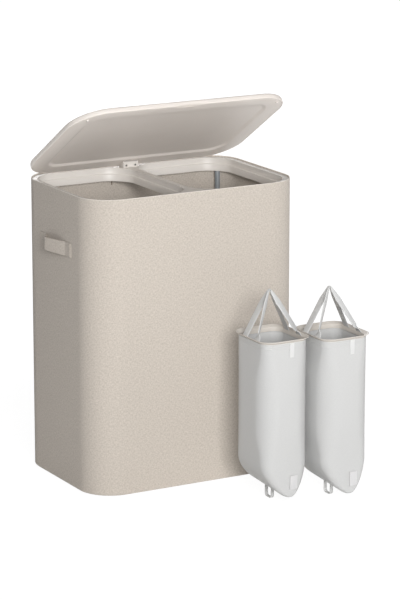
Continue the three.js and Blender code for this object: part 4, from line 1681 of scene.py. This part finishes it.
    def build(self) -> None:
        """Builds the whole liner."""
        self.bag()
        self.rim()
        self.patches()
        self.bottom_loop()
        reach = self.width / 2 + self.rim_out - self.collar_in
        low = self.top - self.rim_flare + GAP + CarryingStrap.thickness / 2
        for side in Side:
            hinge = Vector((self.x + side * reach, self.y, low))
            CarryingStrap(self.finishes, f"{self.body}_strap_{side.word}", hinge, side).build()


@dataclass(frozen=True)
class Lamp:
    """A soft square lamp."""

    name: str  # which lamp it is
    place: tuple[float, float, float]  # where it hangs, in metres
    power: float  # its power, in watts
    size: float  # the length of its side, in metres


@dataclass
class Studio:
    """The plain stage: a pale floor, soft lamps and the camera."""

    floor_size: float = 24.0  # size of the floor, in metres
    veil: float = 0.13  # how much of the lamps' light the floor shows, so that it can take a shadow
    glow: tuple[float, float] = (0.935, 1.0)  # the floor's own white, near the object and far from it
    glow_reach: tuple[float, float] = (0.6, 1.8)  # where near ends and far begins, in metres
    surroundings: float = 0.22  # strength of the light from all round
    # The lamps: one before the left front, a weaker one at the right, and one behind.
    lamps: tuple[Lamp, ...] = (
        Lamp("key", (-1.89, -5.43, 2.13), 288, 2.0),
        Lamp("fill", (5.19, -2.76, 1.93), 72, 3.0),
        Lamp("back", (1.60, 5.63, 1.75), 150, 3.0),
    )
    # What the camera looks at, in metres.
    target: Vector = field(default_factory=lambda: Vector((0.076505, -0.042767, 0.378575)))
    azimuth: float = 29.2055  # the camera's angle to the left of the front, in degrees
    elevation: float = 13.737  # its angle above the floor, in degrees
    distance: float = 6.3581  # from the camera to the target, in metres
    lens: float = 170.19  # focal length, in millimetres
    film: float = 36.0  # width of its film, in millimetres
    sight: float = 100.0  # how far it sees, in metres

    def hang(self, data: bpy.types.Camera | bpy.types.Light, place: Vector) -> Piece:
        """Adds a camera or a lamp that points at the target.

        Args:
            data: The camera or the lamp.
            place: Where it hangs, in metres.

        Returns:
            Its object.
        """
        turn = (place - self.target).to_track_quat("Z", "Y").to_matrix().to_4x4()
        made = bpy.data.objects.new(data.name, data)
        made.matrix_world = Matrix.Translation(place) @ turn
        bpy.context.scene.collection.objects.link(made)
        return made

    def camera(self) -> None:
        """Sets the camera, whose place and lens are fitted to the photograph's outline."""
        turn, lift = math.radians(self.azimuth), math.radians(self.elevation)
        back = Vector((-math.sin(turn) * math.cos(lift), -math.cos(turn) * math.cos(lift), math.sin(lift)))
        data = bpy.data.cameras.new("camera")
        data.lens = self.lens
        data.sensor_width = self.film
        data.clip_end = self.sight
        bpy.context.scene.camera = self.hang(data, self.target + back * self.distance)

    def light(self, lamp: Lamp) -> None:
        """Hangs a lamp.

        Args:
            lamp: The lamp.
        """
        data = bpy.data.lights.new(lamp.name, "AREA")
        data.energy = lamp.power
        data.size = lamp.size
        self.hang(data, Vector(lamp.place))

    def seen(self, tree: Tree, other: str) -> Socket:
        """Tells the camera's rays, and another kind, from all the rest.

        Args:
            tree: The tree to add to.
            other: The name of the other kind.

        Returns:
            A socket that is 1 for these rays and 0 for the rest.
        """
        rays = add_node(tree, "LightPath").outputs
        kinds = {0: rays["Is Camera Ray"], 1: rays[other]}
        return add_node(tree, "Math", kinds, operation="MAXIMUM").outputs[0]

    def paint(self) -> Material:
        """Makes the floor's paint: white to the camera, though it still takes the shadow.

        Returns:
            The new material.
        """
        material = bpy.data.materials.new("painted_studio_floor")
        material.use_nodes = True
        tree = material.node_tree
        tree.nodes.remove(tree.nodes["Principled BSDF"])
        # To the camera, most of the floor's white is its own, and the rest takes the object's shadow.
        # Further off, where the lamps are weaker, it is all its own.
        plain = add_node(tree, "BsdfDiffuse", {"Color": linear("f4f4f3")}).outputs[0]
        veil = add_node(tree, "BsdfDiffuse", {"Color": (self.veil, self.veil, self.veil, 1.0)}).outputs[0]
        place = add_node(tree, "TexCoord").outputs[Grain.OBJECT.value]
        away = add_node(tree, "VectorMath", {0: place}, operation="LENGTH").outputs["Value"]
        (near, far), (dim, full) = self.glow_reach, self.glow
        fade = {"Value": away, "From Min": near, "From Max": far, "To Min": dim, "To Max": full}
        own = add_node(tree, "MapRange", fade).outputs[0]
        white = add_node(tree, "Emission", {"Color": linear("ffffff"), "Strength": own}).outputs[0]
        bright = add_node(tree, "AddShader", {0: veil, 1: white}).outputs[0]
        mixed = {0: self.seen(tree, "Is Glossy Ray"), 1: plain, 2: bright}
        mix = add_node(tree, "MixShader", mixed).outputs[0]
        tree.links.new(mix, tree.nodes["Material Output"].inputs["Surface"])
        return material

    def floor(self) -> None:
        """Lays the floor."""
        bm = bmesh.new()
        bmesh.ops.create_grid(bm, x_segments=1, y_segments=1, size=self.floor_size / 2)
        mesh = bpy.data.meshes.new("floor")
        bm.to_mesh(mesh)
        bm.free()
        mesh.materials.append(self.paint())
        floor = bpy.data.objects.new("floor", mesh)
        bpy.context.scene.collection.objects.link(floor)
        floor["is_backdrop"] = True

    def world(self) -> None:
        """Sets the surroundings: plain white where the camera sees them, and a soft light elsewhere."""
        world = bpy.data.worlds.new("studio")
        world.use_nodes = True
        bpy.context.scene.world = world
        tree = world.node_tree
        tree.nodes.clear()
        soft = {"Color": linear("f5f5f7"), "Strength": self.surroundings}
        light = add_node(tree, "Background", soft).outputs[0]
        plain = add_node(tree, "Background", {"Color": linear("ffffff"), "Strength": 1.0}).outputs[0]
        mixed = {0: self.seen(tree, "Is Transmission Ray"), 1: light, 2: plain}
        mix = add_node(tree, "MixShader", mixed).outputs[0]
        add_node(tree, "OutputWorld", {"Surface": mix})

    def build(self) -> None:
        """Builds the stage."""
        self.camera()
        self.floor()
        self.world()
        for lamp in self.lamps:
            self.light(lamp)
        bpy.context.scene.view_settings.view_transform = "Standard"


def dress_kept_nodes(finishes: Finishes) -> None:
    """Gives the pieces that stay as the CAD has them their finishes.

    Args:
        finishes: The finishes.
    """
    kept = {
        "base_frame": finishes.frame_plastic,
        "base_board": finishes.board,
        "hinge_pin": finishes.steel,
        "hinge_screw_left": finishes.steel,
        "hinge_screw_right": finishes.steel,
    }
    for name, finish in kept.items():
        for slot in bpy.data.objects[name].material_slots:
            slot.material = finish
        LOG.info("%s keeps its solid", name)


def write_sizes(sizes: dict[str, list[list[float]]], name: str) -> None:
    """Keeps the box of everything that shows so far in the table.

    Args:
        sizes: The boxes so far, to which it is added.
    """
    bpy.context.view_layer.update()
    low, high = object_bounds()
    sizes[name] = [list(low), list(high)]


def main() -> None:
    """Builds the whole scene around the frame."""
    logging.basicConfig(level=logging.INFO, format="%(message)s")
    sizes: dict[str, list[list[float]]] = {}
    write_sizes(sizes, "cad")
    finishes = Finishes()
    posts = CornerPosts(finishes)
    sub_assemblies = (
        OuterSleeve(finishes),
        TopFrame(finishes, posts),
        posts,
        SideHandle(finishes),
        HingeHousing(finishes),
        Lid(finishes),
        Liner(finishes, Side.LEFT, x=75.0, y=-363.0),
        Liner(finishes, Side.RIGHT, x=202.0, y=-402.0),
    )
    for sub_assembly in sub_assemblies:
        sub_assembly.build()
    dress_kept_nodes(finishes)
    Studio().build()
    write_sizes(sizes, "dressed")


if __name__ == "__main__":
    main()
